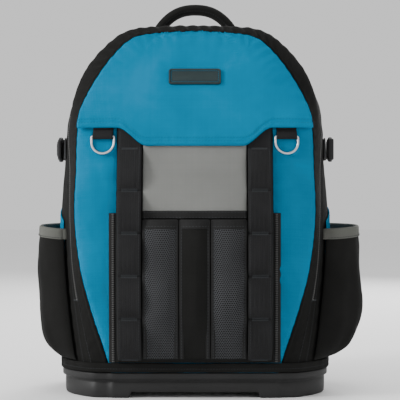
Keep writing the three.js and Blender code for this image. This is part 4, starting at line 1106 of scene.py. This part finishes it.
def tool_loops(name, side):
    pitch = (LOOP_TOP - LOOP_BOTTOM) / LOOP_COUNT
    across = np.linspace(LOOP_X - LOOP_WIDTH / 2, LOOP_X + LOOP_WIDTH / 2, 15)
    heights = np.concatenate([np.linspace(LOOP_BOTTOM, LOOP_TOP, LOOP_ROWS + 1), [LOOP_TOP + 1]])
    x = side * across[None] + 0 * heights[:, None]
    z = heights[:, None] + 0 * x
    tail = np.linspace(0, 1, 14)[1:, None]
    x = np.concatenate([x, side * across[None] + 0 * tail])
    z = np.concatenate([z, (LOOP_TOP + 1) * (1 - tail) + (flap_edge(across)[None] + 4) * tail])
    wave = np.abs(np.sin(np.pi * (z - LOOP_BOTTOM) / pitch)) ** 0.8
    inside = (z < LOOP_TOP) & (z > LOOP_BOTTOM)
    curl = 0.35 * (2 * (np.abs(x) - LOOP_X) / LOOP_WIDTH) ** 2
    bulge = np.where(inside, LOOP_BULGE * wave, 0) - curl + 0.35 * noise(x / 14, z / 9, 81 + side)
    bulge = np.where(z > LOOP_TOP + 4, np.minimum(bulge, 0.05), bulge)
    points = front_point(x, z, on_pocket(z) + WEBBING + bulge)
    if side < 0:
        points = points[:, ::-1]
    normals = grid_normals(points)
    add(f"loops_{name}_webbing", shell(points, normals, WEBBING, 0.45), webbing,
        f"tool_loops_{name}")
    threads = []
    for i in range(LOOP_COUNT + 1):
        row = round(i * LOOP_ROWS / LOOP_COUNT)
        for j in (max(row - 1, 0), min(row + 1, LOOP_ROWS)):
            threads.append(stitches(points[j, 2:-2], normals[j, 2:-2], 0.9, 3.4, 0.85, True, 0.0))
    threads.append(seams(points, normals, (1, 13), 3.4, 2.4, 0.6))
    add(f"loops_{name}_tacks", join(threads), thread)


def pocket_zip():
    heights = np.linspace(42, 214, 130)
    for name, side in (("left", -1), ("right", 1)):
        x, z = np.meshgrid(side * POCKET_HALF + np.linspace(-1, 9, 11) * side, heights)
        if side < 0:
            x = x[:, ::-1]
        points = front_point(x, z, 2.6 - 0.25 * np.abs(np.abs(x) - POCKET_HALF - 4))
        normals = grid_normals(points)
        add(f"pocket_zip_{name}_tape", shell(points, normals, 1.2), tape)
        coil = stitches(points[:, 5], normals[:, 5], 2.1, 3.6, 1.1, True, 0.0)
        add(f"pocket_zip_{name}_coil", coil, coil_plastic)


# Label patch

def front_axes(x, z, lift):
    place = lambda px, pz: front_point(np.array(float(px)), np.array(float(pz)), lift(np.array(float(pz))))
    across = unit(place(x + 4, z) - place(x - 4, z))
    up = place(x, z + 4) - place(x, z - 4)
    up = unit(up - across * np.dot(up, across))
    return place(x, z), np.array([across, np.cross(up, across), up])


def label_patch():
    origin, axes = front_axes(0, PATCH_Z, lambda z: flap_lift(z) + FLAP_WALL + LAY_GAP * 1.6)
    steps = [(0.4, 0.3), (0, -0.2), (0, -2.2), (0.5, -2.9), (1.5, -2.9), (2.0, -2.5), (2.2, -2.0),
             (3.4, -1.8),
             (4.2, -2.1), (5.0, -1.8)]
    rings = []
    for inset, y in steps:
        outline = rounded(PATCH_WIDTH - 2 * inset, PATCH_HEIGHT - 2 * inset, max(3.5 - inset, 0.8), 8)
        rings.append([(a, y, b) for a, b in outline])
    piece = add("patch_rubber", placed(tube(rings), origin, axes), rubber, "label_patch")
    edge = np.array([(a, -2.4, b) for a, b in rounded(PATCH_WIDTH - 6, PATCH_HEIGHT - 6, 2, 8)])
    edge = closed(edge) @ axes + origin
    add("patch_stitches", stitches(edge, np.tile(-axes[1], (len(edge), 1)), 2.6, 1.9, 0.6), blue_thread)
    return piece


# D-rings and tabs

def ring_axes(side):
    across = np.array([RING_ACROSS[0], -side * RING_ACROSS[1], 0.0])
    up = np.array([0.0, 0.0, 1.0])
    probe = front_axes(side * RING_X, RING_Z, lambda z: 0 * z)[1][2]
    up = unit(probe - across * np.dot(probe, across))
    return np.array([side * RING_X, RING_Y, RING_Z]), np.array([across, np.cross(up, across), up])


def ring_and_tab(name, side):
    origin, axes = ring_axes(side)
    fold = RING_WIRE + 0.4 + TAB_PLY / 2
    turn = np.linspace(0, np.pi, 22)
    path = ([(2.5, TAB_TOP + 3), (2.5, 6), (fold, 1.5)]
            + [(fold * math.cos(q), -fold * math.sin(q)) for q in turn])
    path += [(-fold, 0.8), (-1.9, 3.0), (-0.4, 5.6), (0.9, 7.6), (1.1, 9.5), (1.1, TAB_TOP + 3)]
    path = resample(spline(path, np.linspace(0, 1, 200)), 90)
    x = np.linspace(-TAB_WIDTH / 2, TAB_WIDTH / 2, 13)
    grid = np.stack(np.broadcast_arrays(x[None], path[:, :1], path[:, 1:2]), -1).astype(float)
    normals = grid_normals(grid)
    if normals[60, 6, 1] > 0:
        normals = -normals
    part = shell(grid + normals * TAB_PLY / 2, normals, TAB_PLY, 0.45)
    add(f"tab_{name}_webbing", placed(part, origin, axes), webbing, f"ring_tab_{name}")
    row = (grid + normals * TAB_PLY / 2)[78, 1:-1] @ axes + origin
    add(f"tab_{name}_tack", stitches(row, normals[78, 1:-1] @ axes, 0.9, 2.6, 0.8, True, 0.0), thread)

    straight = RING_HALF - RING_CORNER
    bend = lambda cx, cz, r, lo, hi, n: [(cx + r * math.cos(q), 0, cz + r * math.sin(q))
                                         for q in np.linspace(lo, hi, n)]
    line = bend(straight, -RING_CORNER, RING_CORNER, math.pi / 2, 0, 8)
    line += bend(0, -RING_SIDE, RING_HALF, 0, -math.pi, 40)
    line += bend(-straight, -RING_CORNER, RING_CORNER, math.pi, math.pi / 2, 8)
    line = np.array(line + [(q, 0, 0) for q in np.linspace(-straight, straight, 12)[1:-1]])
    along = unit(np.roll(line, -1, 0) - np.roll(line, 1, 0))
    out = np.stack([along[:, 2], 0 * along[:, 0], -along[:, 0]], -1)
    part = placed(wire(line, out, RING_WIRE, 16, True), origin, axes)
    add(f"ring_{name}_steel", part, steel, f"d_ring_{name}", f"d_ring_{name}")


# Side pockets, straps and buckles

def pouch(name, side, across, z, off):
    base, level = side_point(side, z, POUCH_FRONT + (POUCH_REAR - POUCH_FRONT) * across)
    up = (z - SIDE_BOTTOM) / (SIDE_TOP - SIDE_BOTTOM)
    bulge = (SIDE_BULGE[name] * np.maximum(np.sin(np.pi * across),
                                           0)[None] ** 0.55 * smooth_table(SIDE_PROFILE[name], up))
    seed = 91 if side < 0 else 95
    waves = (noise(across[None] * 10, up * 1.6, seed) * (1.1 + 3.0 * np.exp(-up / 0.3))
             + 2.2 * rumple(across[None] * 90, z, 50, seed + 1))
    fold = ((waves + 1.3 * noise(across[None] * 5 + up * 2.5, up * 2, seed + 2))
            * np.minimum(np.sin(np.pi * across)[None] * 2, 1))
    return base + level * (2 * LAY_GAP + WALL + bulge + fold * np.clip(up * 8, 0, 1) * 0.8
                           + off)[..., None], level


def pouch_top(across):
    return SIDE_TOP - SIDE_DIP * (1 - across) ** 2


def outward(points, level):
    normals = grid_normals(points)
    return normals if np.sum(normals * level) > 0 else -normals


def side_pocket(name, side):
    across = 0.5 - 0.5 * np.cos(np.linspace(0, 1, 96) * np.pi)
    across = 0.25 * np.linspace(0, 1, 96) + 0.75 * across
    top = pouch_top(across)[None]
    z = SIDE_BOTTOM + (top - SIDE_BOTTOM) * np.linspace(0, 1, 90)[:, None] ** 1.15
    points, level = pouch(name, side, across, z, 0 * z)
    add(f"pouch_{name}_cloth", shell(points, outward(points, level), WALL), black_cloth,
        f"side_pocket_{name}")
    row_z = np.repeat(top - RIM_HEIGHT + 1.6, 3, 0) + np.array([[-1], [0], [1]])
    points, level = pouch(name, side, across, row_z, 1.5 + 0 * row_z)
    add(f"pouch_{name}_stitches", stitches(points[1], outward(points, level)[1]), thread)

    thick = 1.1
    turn = np.linspace(0, np.pi, 9)
    drop = np.concatenate([np.linspace(-RIM_HEIGHT, 0, 10), 2.3 * np.sin(turn[1:-1]),
                           np.linspace(0, -RIM_HEIGHT, 10)])
    off = np.concatenate([np.full(10, thick), -WALL / 2 + (WALL / 2 + thick) * np.cos(turn[1:-1]),
                          np.full(10, -WALL - thick)])
    z = top + drop[:, None]
    flat_z = np.minimum(z, top)
    points, level = pouch(name, side, across, flat_z, off[:, None] + 0 * z)
    points[..., 2] = z
    face = outward(points[:10], level[:10])
    normals = grid_normals(points)
    normals = normals * np.sign(np.sum(normals[:10] * face))
    add(f"pouch_{name}_rim", shell(points, normals, thick, 0.3), rim_cloth,
        f"pocket_rim_{name}")


def side_patch(name, side):
    w = np.linspace(POUCH_FRONT + 0.035, POUCH_REAR - 0.035, 40)
    top = SIDE_TOP + 6 + 26 * np.linspace(0, 1, 40)[None]
    z = (SIDE_TOP - 40) + (top - SIDE_TOP + 40) * np.linspace(0, 1, 30)[:, None]
    points, level = side_point(side, z, w)
    points = points + level * (2 * LAY_GAP + 1.2 + 0.3 * noise(w[None] * 60, z / 14, 97))[..., None]
    add(f"patch_{name}_cloth", shell(points, outward(points, level), 1.2), blue_cloth,
        f"side_patch_{name}")
    line = stitches(points[-3], outward(points, level)[-3])
    add(f"patch_{name}_stitches", line, blue_thread)


def side_strap(name, side):
    w = np.linspace(POUCH_FRONT + 0.02, POUCH_REAR, 70)
    z = SIDE_STRAP_Z + np.linspace(-0.5, 0.5, 13)[:, None] * SIDE_STRAP_WIDTH + 0 * w[None]
    points, level = side_point(side, z, w)
    points = points + level * (LAY_GAP + WEBBING + 0.35 * noise(w[None] * 40, z / 30, 99))[..., None]
    normals = outward(points, level)
    points, normals = np.swapaxes(points, 0, 1), np.swapaxes(normals, 0, 1)
    add(f"strap_{name}_webbing", shell(points, normals, WEBBING, 0.45), webbing,
        f"side_strap_{name}")
    rows = tacks(points, normals, (2, 5, 64, 67))
    add(f"strap_{name}_tacks", rows, thread)


def buckle(name, side):
    z = np.full((1, 1), float(SIDE_STRAP_Z))
    point, level = side_point(side, z, [BUCKLE_SHARE])
    origin = point[0, 0] + level[0, 0] * (LAY_GAP + WEBBING + 2.3)
    out = level[0, 0]
    axes = np.array([np.cross([0, 0, 1.0], out), [0, 0, 1.0], out])
    body = [(-17, -11.5), (-15, -13), (-2, -13), (1, -11), (3.5, -8.5), (3.5, 8.5), (1, 11), (-2, 13),
            (-15, 13), (-17, 11.5)]
    parts = [slab(even_loop(body, 60), -0.8, 6.4, 1.3)]
    parts.append(slab(rounded(11, 15, 2.5), 6.0, 7.0, 0.5))
    tongue = [(2, -9), (9, -9.8), (17, -11.2), (18, -10), (18, 10), (17, 11.2), (9, 9.8), (2, 9)]
    parts.append(slab(even_loop(tongue, 48), 0.2, 4.4, 1.0))
    for sign in (-1, 1):
        arm = spline([(6, sign * 8.5, 2.6), (2.5, sign * 11.5, 2.8), (-3, sign * 13.6, 2.9),
                      (-8, sign * 13.4, 2.8),
                      (-11, sign * 11, 2.6)], np.linspace(0, 1, 24))
        parts.append(tube(sweep(arm, (0, 0, 1), 2.3, 1.4, 0.7, 14)))
    bar = np.stack([np.full(12, 13.0), np.linspace(-9, 9, 12), np.full(12, 4.8)], -1)
    parts.append(tube(sweep(bar, (1, 0, 0), 1.5, 0.9, 0.8, 12)))
    add(f"buckle_{name}_plastic", placed(join(parts), origin, axes), buckle_plastic,
        f"side_buckle_{name}")


# Base and the band above it

def plan(z, count=480):
    half = front_half(np.array(float(z)))
    front_x = np.linspace(0, float(half), 60)
    front = np.stack([front_x, front_y(front_x, np.full(60, float(z)))], -1)
    w = np.linspace(0.1, 1, 120)
    side, _ = side_point(1, np.full((1, 120), float(z)), w)
    side = side[0, :, :2] * (np.sign(side[0, 60, 0]), 1)
    back_y = side[-1, 1] + SEAM_GAP + BACK_WALL
    back = np.stack([np.linspace(side[-1, 0], 0, 40), np.full(40, back_y)], -1)
    half_loop = np.concatenate([front, side, back])
    loop = np.concatenate([half_loop, half_loop[-2:0:-1] * (-1, 1)])
    loop = even_loop(loop, count + 1)
    weights = np.exp(-(np.arange(-4, 5) * arc(loop)[-1] / count / 2.2) ** 2 / 2)
    return sum(np.roll(loop, k, 0) * w for k, w in zip(range(-4, 5), weights / weights.sum()))


def offset(loop, out):
    along = unit(np.roll(loop, -1, 0) - np.roll(loop, 1, 0))
    return loop + np.stack([along[:, 1], -along[:, 0]], -1) * np.reshape(out, (-1, 1))


def at_height(loop, z):
    return np.concatenate([loop, np.broadcast_to(np.reshape(z, (-1, 1)), (len(loop), 1))], 1)


def hem_band():
    low, high = plan(FOOT), plan(FOOT + HEM_HEIGHT)
    along = arc(low)
    profile = [(1.1, 0.5), (2.5, 0.4), (3.0, 1.2), (3.1, 3.0), (2.7, 4.6), (3.1, 6.2), (3.1, 8.6),
               (2.9, 10.4), (2.3, 11.4), (1.3, 11.2), (1.1, 6)]
    rings = []
    for out, up in profile:
        share = up / HEM_HEIGHT
        wave = 0.4 * np.sin(along / 3.1 + noise(along / 30, 0.5, 101) * 3) * (0.3
                                                                              + 0.7 * share) if out > 2 else 0
        rings.append(at_height(offset(low * (1 - share) + high * share, out + wave),
                               FOOT + up + 0.4 * noise(along / 45, share, 103) * share))
    add("hem_cloth", tube(rings, True), black_cloth, "hem_band")
    line = rings[4]
    up = np.concatenate([offset(line[:, :2], 1.0) - line[:, :2], np.zeros((len(line), 1))], 1)
    row = stitches(closed(line), closed(up), 3.4, 2.6, 0.8)
    add("hem_stitches", row, thread)


def base_tray():
    loop = plan(FOOT, 720)
    wall = -2.4
    inner = wall - 3
    profile = [(wall - 3, 0), (wall - 1.6, 0.4), (wall - 0.6, 1.6), (wall - 0.2, 3.4), (wall, 6.0),
               (wall + 0.1, 17.6),
               (wall - 0.5, 18.1), (wall - 0.6, 18.7), (wall + 0.1, 19.2), (wall + 0.2, 20.6), (-1.2, 21.2),
               (0.5, 21.8),
               (0.95, 22.6), (1.0, 25.4), (1.0, 28.4), (0.7, 29.2), (0.0, 29.5), (inner, 29.5), (inner, 12)]
    rings = []
    for out, z in profile:
        ring = at_height(offset(loop, out), z)
        notch = RECESS_HEIGHT * (1 - smoothstep(np.abs(ring[:, 0]), RECESS_HALF - 2.5, RECESS_HALF + 0.5))
        ring[:, 2] = np.where(z < 16, notch + z * (16 - notch) / 16, z)
        rings.append(ring)
    parts = [tube(rings, True)]
    floor = offset(loop, inner - 0.2)
    parts.append(tube([at_height(floor, z) for z in (RECESS_HEIGHT, RECESS_HEIGHT + 3)]))
    for side in (-1, 1):
        rings = []
        for out, z in ((-0.9, 0), (-0.3, 0.3), (0, 1), (0, RECESS_HEIGHT)):
            ring = at_height(offset(loop, inner - 0.2 + out), z)
            ring[:, 0] = side * np.maximum(side * ring[:, 0], RECESS_HALF + 0.4 - out)
            rings.append(ring)
        parts.append(tube(rings))
    nodes = ("base_tray", "base_floor", "base_foot_left", "base_foot_right")
    add("base_moulding", join(parts), base_plastic, nodes)


# Back, pads, yoke, straps and handle

def back_panel():
    seam = resample(ARCH[:A_STEPS // 2 + 1, -1], 115)
    share = np.linspace(-1, 1, 83)
    x = share[None] * np.abs(seam[:, :1])
    z = seam[:, 2:3] + 0 * x
    y = seam[:, 1:2] + SEAM_GAP + BACK_WALL + 0 * x
    points = np.stack([x, y, z], -1)
    line = np.concatenate([seam, seam[-2::-1] * (-1, 1, 1)])
    off, along = near(points, line + (0, SEAM_GAP + BACK_WALL, 0))
    relief = (-1.2 * bell(off, 3) + 0.5 * puckers(along, off, 15, 12, 111)
              + 0.6 * rumple(x, z, 60, 113) * clear(off, 10))
    points[..., 1] += np.minimum(relief, 0.25)
    normals = -grid_normals(points)
    add("back_cloth", shell(points, normals, BACK_WALL), spacer, "back_panel")
    line = line + (0, 2.2, 0)
    out = unit(np.stack([-np.gradient(line[:, 2]), 0 * line[:, 0], np.gradient(line[:, 0])], -1))
    add("rear_piping", wire(line, out, 2.1, 12), black_cloth)


def back_pad(name, cx, cz, half_x, half_z):
    thick = PAD_THICK
    turn = np.linspace(0, 2 * np.pi, 8001)
    bend = lambda v: np.sign(v) * np.abs(v) ** 0.5
    outline = resample(np.stack([half_x * bend(np.cos(turn)), half_z * bend(np.sin(turn))], -1), 201)[:-1]
    profile = spline([(0.93, 0), (0.985, 0.1), (1.0, 0.35), (0.975, 0.62), (0.9, 0.85), (0.75, 0.97),
                      (0.5, 1.0), (0.25, 1.0), (0.01, 1.0)],
                     np.linspace(0, 1, 48))
    rings = []
    for share, out in profile:
        x, z = (outline * share).T
        run = x if half_x > half_z else z
        channel = np.abs((run / 37 + 0.5) % 1 - 0.5) * 37
        groove = 3.4 * bell(channel, 3.0) * smoothstep(out, 0.5, 0.95)
        rim = 1.6 * bell(share - 0.84, 0.03)
        y = np.maximum(thick * out - groove - rim + 0.35 * noise(x / 16, z / 16, 121) * out, 0)
        rings.append(np.stack([cx + x, BACK_FACE + LAY_GAP + y, cz + z], -1))
    piece = add(f"{name}_foam", tube(rings), spacer, name)
    lift = np.concatenate(rings)[:, 1] - BACK_FACE - LAY_GAP
    puff(piece, lift < 0.3 * thick)
    line = rings[2] + (0, 1.2, 0)
    out = unit((line - (cx, 0, cz)) * (1, 0, 1))
    add(f"{name}_piping", wire(line, out, 1.6, 10, True), black_cloth)


def strap_yoke():
    half = (YOKE_TOP - YOKE_BOTTOM) / 2
    curve = [(YOKE_HALF * 0.86 * (1 - 2 * t), -half + 0.65 * half * 2 * t * (1 - t))
             for t in np.linspace(1, 0, 24)]
    outline = ([(-YOKE_HALF * 0.72, half), (-YOKE_HALF, -half * 0.7)] + curve
               + [(YOKE_HALF, -half * 0.7), (YOKE_HALF * 0.72, half)])
    outline = even_loop(outline, 160)
    axes = np.array([[1.0, 0, 0], [0, 0, 1.0], [0, 1.0, 0]])
    origin = (0, YOKE_FACE - 4, (YOKE_TOP + YOKE_BOTTOM) / 2)
    add("yoke_cloth", placed(slab(outline, 0, 4, 1.2), origin, axes), black_cloth,
        "strap_yoke")
    inner = outline * 0.94
    line = np.stack([inner[:, 0], np.full(len(inner), 4.0), inner[:, 1]], -1) + (0, YOKE_FACE - 4, origin[2])
    line = closed(line)
    add("yoke_stitches", stitches(line, np.tile([0, 1.0, 0], (len(line), 1))), thread)


def carry_handle():
    end_y = YOKE_FACE + LAY_GAP + 3
    grip_y = end_y + 4
    right = [(HANDLE_HALF, end_y, YOKE_TOP - 20), (HANDLE_HALF - 1, end_y, YOKE_TOP - 4),
             (HANDLE_HALF - 4, grip_y, YOKE_TOP + 12),
             (HANDLE_HALF * 0.75, grip_y, HANDLE_TOP - HANDLE_RISE * 0.62),
             (HANDLE_HALF * 0.48, grip_y, HANDLE_TOP - HANDLE_RISE * 0.24),
             (HANDLE_HALF * 0.2, grip_y, HANDLE_TOP - 3)]
    path = np.array(right + [(-x, y, z) for x, y, z in right[::-1]], float)
    share = np.linspace(0, 1, 170)
    centre = spline(path, share)
    along = unit(np.gradient(centre, axis=0))
    side = unit(np.array([0, 1.0, 0]) - along * along[:, 1:2])
    out = np.cross(along, side)
    grip = smoothstep(np.minimum(share, 1 - share), 0.1, 0.26)[:, None, None]
    width = np.interp(share, (0, 0.13, 0.24, 0.76, 0.87, 1), (20, 20, 21, 21, 20, 20))[:, None, None] / 2
    thick = np.interp(share, (0, 0.13, 0.24, 0.76, 0.87, 1), (5, 5.5, 14, 14, 5.5, 5))[:, None, None] / 2
    angle = np.linspace(0, 2 * np.pi, 36, endpoint=False)[None, :, None]
    run = arc(centre)[:, None, None]
    crease = 0.35 * noise(run / 5 + np.cos(angle), np.sin(angle) * 1.5, 131) * grip
    seam = 0.9 * bell(angle - np.pi / 2 * 3, 0.16) * grip
    a = (thick + (width - thick) * grip) * np.cos(angle) * (1 + 0.03 * crease)
    b = (width + (thick - width) * grip) * np.sin(angle) * (1 + 0.03 * crease) + seam * 0.6
    rings = centre[:, None] + side[:, None] * a + out[:, None] * b
    piece = add("handle_cloth", tube(rings), black_cloth, "carry_handle")
    rows = []
    for column in (2, 16):
        middle = rings[36:-36, column]
        rows.append(stitches(middle, unit(middle - centre[36:-36]), 3.4, 2.6, 0.8))
    add("handle_stitches", join(rows), thread)


def strap_line(side, steps=150):
    route = [(side * x * BODY_HALF, STRAP_SEAT + off * STRAP_REACH, z * BODY_HEIGHT) for x, off,
             z in STRAP_ROUTE]
    return spline(route, np.linspace(0, 1, steps))


def shoulder_strap(name, side):
    centre = strap_line(side)
    share = np.linspace(0, 1, len(centre))
    half_width = np.interp(share, (0, 0.2, 0.8, 1), (0.9, 1, 0.94, 0.62)) * STRAP_WIDTH / 2
    half_thick = np.interp(share, (0, 0.9, 1), (1, 1, 0.5)) * STRAP_THICK / 2
    rings = sweep(centre, (1.0, 0, 0), half_width - 1.5, half_thick, 0.5, 40)
    wide, out = band_axes(centre)
    run = arc(centre)
    flat = np.sum((rings - centre[:, None]) * wide[:, None], -1)
    side_up = np.sign(np.sum((rings - centre[:, None]) * out[:, None], -1))
    quilt = 0.8 * bell(np.abs(flat) - half_width[:, None] + 9, 1.6)
    creases = 0.5 * noise(run[:, None] / 9, flat / 26, 141 + side)
    rings = rings + out[:, None] * (side_up * (creases - quilt))[..., None]
    piece = add(f"strap_{name}_foam", tube(rings), spacer, f"shoulder_strap_{name}")
    edge = np.abs(flat) > half_width[:, None] - 5
    edge[:8], edge[-8:] = True, True
    puff(piece, edge.ravel())
    bindings, threads = [], []
    for sign in (-1, 1):
        edge = centre + wide * sign * (half_width - 2.4)[:, None]
        bindings.append(tube(sweep(edge, wide, 2.7, np.minimum(half_thick * 0.72, 4.2), 0.8, 16)))
        for face in (-1, 1):
            line = centre + wide * sign * (half_width - 9)[:, None] + out * face * (half_thick - 0.5)[:, None]
            threads.append(stitches(line[4:-6], out[4:-6] * face))
    add(f"strap_{name}_binding", join(bindings), tape)
    add(f"strap_{name}_stitches", join(threads), thread)
    rows = np.arange(14, 128)
    across = np.linspace(-WEB_HALF, WEB_HALF, 11)
    lift = (half_thick[rows] + 1.5)[:, None, None]
    up = out[rows][:, None]
    grid = centre[rows][:, None] + wide[rows][:, None] * across[None, :, None] + up * lift
    normals = np.repeat(up, 11, 1)
    add(f"strap_{name}_tape", shell(grid, normals, 1.5, 0.45), webbing)
    rows = tacks(grid, normals, (1, 4, 36, 39, 72, 75, 108, 111))
    add(f"strap_{name}_tacks", rows, thread)


def lock_line(side):
    x, off, z = STRAP_ROUTE[-1]
    start = np.array([side * x * BODY_HALF, STRAP_SEAT + off * STRAP_REACH, z * BODY_HEIGHT])
    foot = np.array([side * WEB_FOOT[0] * BODY_HALF, BACK_FACE + LAY_GAP + WEBBING / 2,
                     WEB_FOOT[1] * BODY_HEIGHT])
    return start, foot, unit(foot - start)


def strap_web(name, side):
    start, foot, away = lock_line(side)
    path = [start + away * 32.2, start * 0.45 + foot * 0.55, foot, foot + (side, 0, -12)]
    centre = spline(path, np.linspace(0, 1, 80))
    wide, out = band_axes(centre)
    across = np.linspace(-WEB_HALF, WEB_HALF, 11)
    grid = centre[:, None] + wide[:, None] * across[None, :, None] + out[:, None] * WEBBING / 2
    normals = np.repeat(out[:, None], 11, 1)
    add(f"web_{name}_webbing", shell(grid, normals, WEBBING, 0.45), webbing,
        f"strap_web_{name}")
    add(f"web_{name}_tacks", tacks(grid, normals, (69, 73, 77)), thread)


def ladder_lock(name, side):
    start, _, away = lock_line(side)
    wide = unit(np.array([1.0, 0, 0]) - away * away[0])
    out = np.cross(away, wide)
    out = out * np.sign(out[1])
    axes = np.array([wide, away, out])
    parts = []
    for sign in (-1, 1):
        rail = np.stack([np.linspace(16.4, 14, 14) * sign, np.linspace(2, 31, 14), np.zeros(14)], -1)
        parts.append(tube(sweep(rail, (1, 0, 0), 1.7, 2.6, 0.7, 14)))
    for place, size, lift in ((3.4, 1.9, 0), (12.5, 1.6, 0.4), (20.5, 1.6, 0.8), (29.6, 1.9, 0)):
        bar = np.stack([np.linspace(-15.6, 15.6, 14), np.full(14, place), np.full(14, lift)], -1)
        parts.append(tube(sweep(bar, (0, 1, 0), size, 1.9, 0.7, 14)))
    tip = [(-13, 24, 1.2), (-10, 31.5, 3.2), (10, 31.5, 3.2), (13, 24, 1.2)]
    lip = spline(tip, np.linspace(0, 1, 24))
    parts.append(tube(sweep(lip, (0, 1, 0), 1.5, 1.0, 0.8, 12)))
    add(f"lock_{name}_plastic", placed(join(parts), start, axes), buckle_plastic,
        f"ladder_lock_{name}")


# Zip sliders and pulls

def slider_and_pull(name, side):
    low, high = (TOP - 2) / (2 * TOP), (TOP - 1) / (2 * TOP)
    a = low + (high - low) * 0.82
    place, up = sample(ARCH, a, 0.5), sample(ARCH_NORMAL, a, 0.5)
    down = sample(ARCH, a - 0.02, 0.5) - place
    if side > 0:
        place, up, down = place * (-1, 1, 1), up * (-1, 1, 1), down * (-1, 1, 1)
    down = unit(down - up * np.dot(down, up))
    axes = np.array([down, np.cross(up, down), up])
    origin = place + up * 1.2
    body = [(-6.5, -2.6), (-3, -4.2), (2, -4.7), (6, -4.5), (6.5, -3.8), (6.5, 3.8), (6, 4.5), (2, 4.7),
            (-3, 4.2), (-6.5, 2.6)]
    outline = even_loop(body, 48)
    bridge = spline([(-4.5, 0, 2.6), (-3, 0, 4.4), (2, 0, 4.8), (5, 0, 4.2), (5.6, 0, 2.6)],
                    np.linspace(0, 1, 20))
    parts = [slab(outline, 0, 1.3, 0.5), slab(outline, 2.3, 3.6, 0.5),
             slab(outline * (0.5, 0.35), 1.0, 2.6, 0.2),
             tube(sweep(bridge, (0, 1, 0), 1.2, 0.7, 0.8, 12))]
    add(f"slider_{name}_steel", placed(join(parts), origin, axes), steel, f"zip_slider_{name}")
    pull = np.array(rounded(30, 9, 3.2, 8)) + (6.5 + 15.3, 0)
    grip = [slab(pull, 0, 1.9, 0.7)]
    for i in range(7):
        rib = np.stack([np.full(8, 15.0 + i * 2.6), np.linspace(-3.2, 3.2, 8), np.full(8, 2.0)], -1)
        grip.append(tube(sweep(rib, (1, 0, 0), 0.6, 0.5, 0.9, 8)))
    add(f"pull_{name}_rubber", placed(join(grip), origin, axes), blue_rubber,
        f"zip_pull_{name}")


front_panel()
upper_panel()
gussets()
main_zip()
pocket_front()
grey_panel()
net_pockets()
pocket_zip()
label_patch()
hem_band()
base_tray()
back_panel()
for pad_name, centre_x, centre_z, pad_half_x, pad_half_z in BACK_PADS:
    back_pad(pad_name, centre_x * BODY_HALF, centre_z * BODY_HEIGHT, pad_half_x * BODY_HALF,
             pad_half_z * BODY_HEIGHT)
strap_yoke()
carry_handle()
for side_name, side_sign in (("left", -1), ("right", 1)):
    tool_loops(side_name, side_sign)
    ring_and_tab(side_name, side_sign)
    side_pocket(side_name, side_sign)
    side_patch(side_name, side_sign)
    side_strap(side_name, side_sign)
    buckle(side_name, side_sign)
    shoulder_strap(side_name, side_sign)
    strap_web(side_name, side_sign)
    ladder_lock(side_name, side_sign)
    slider_and_pull(side_name, side_sign)
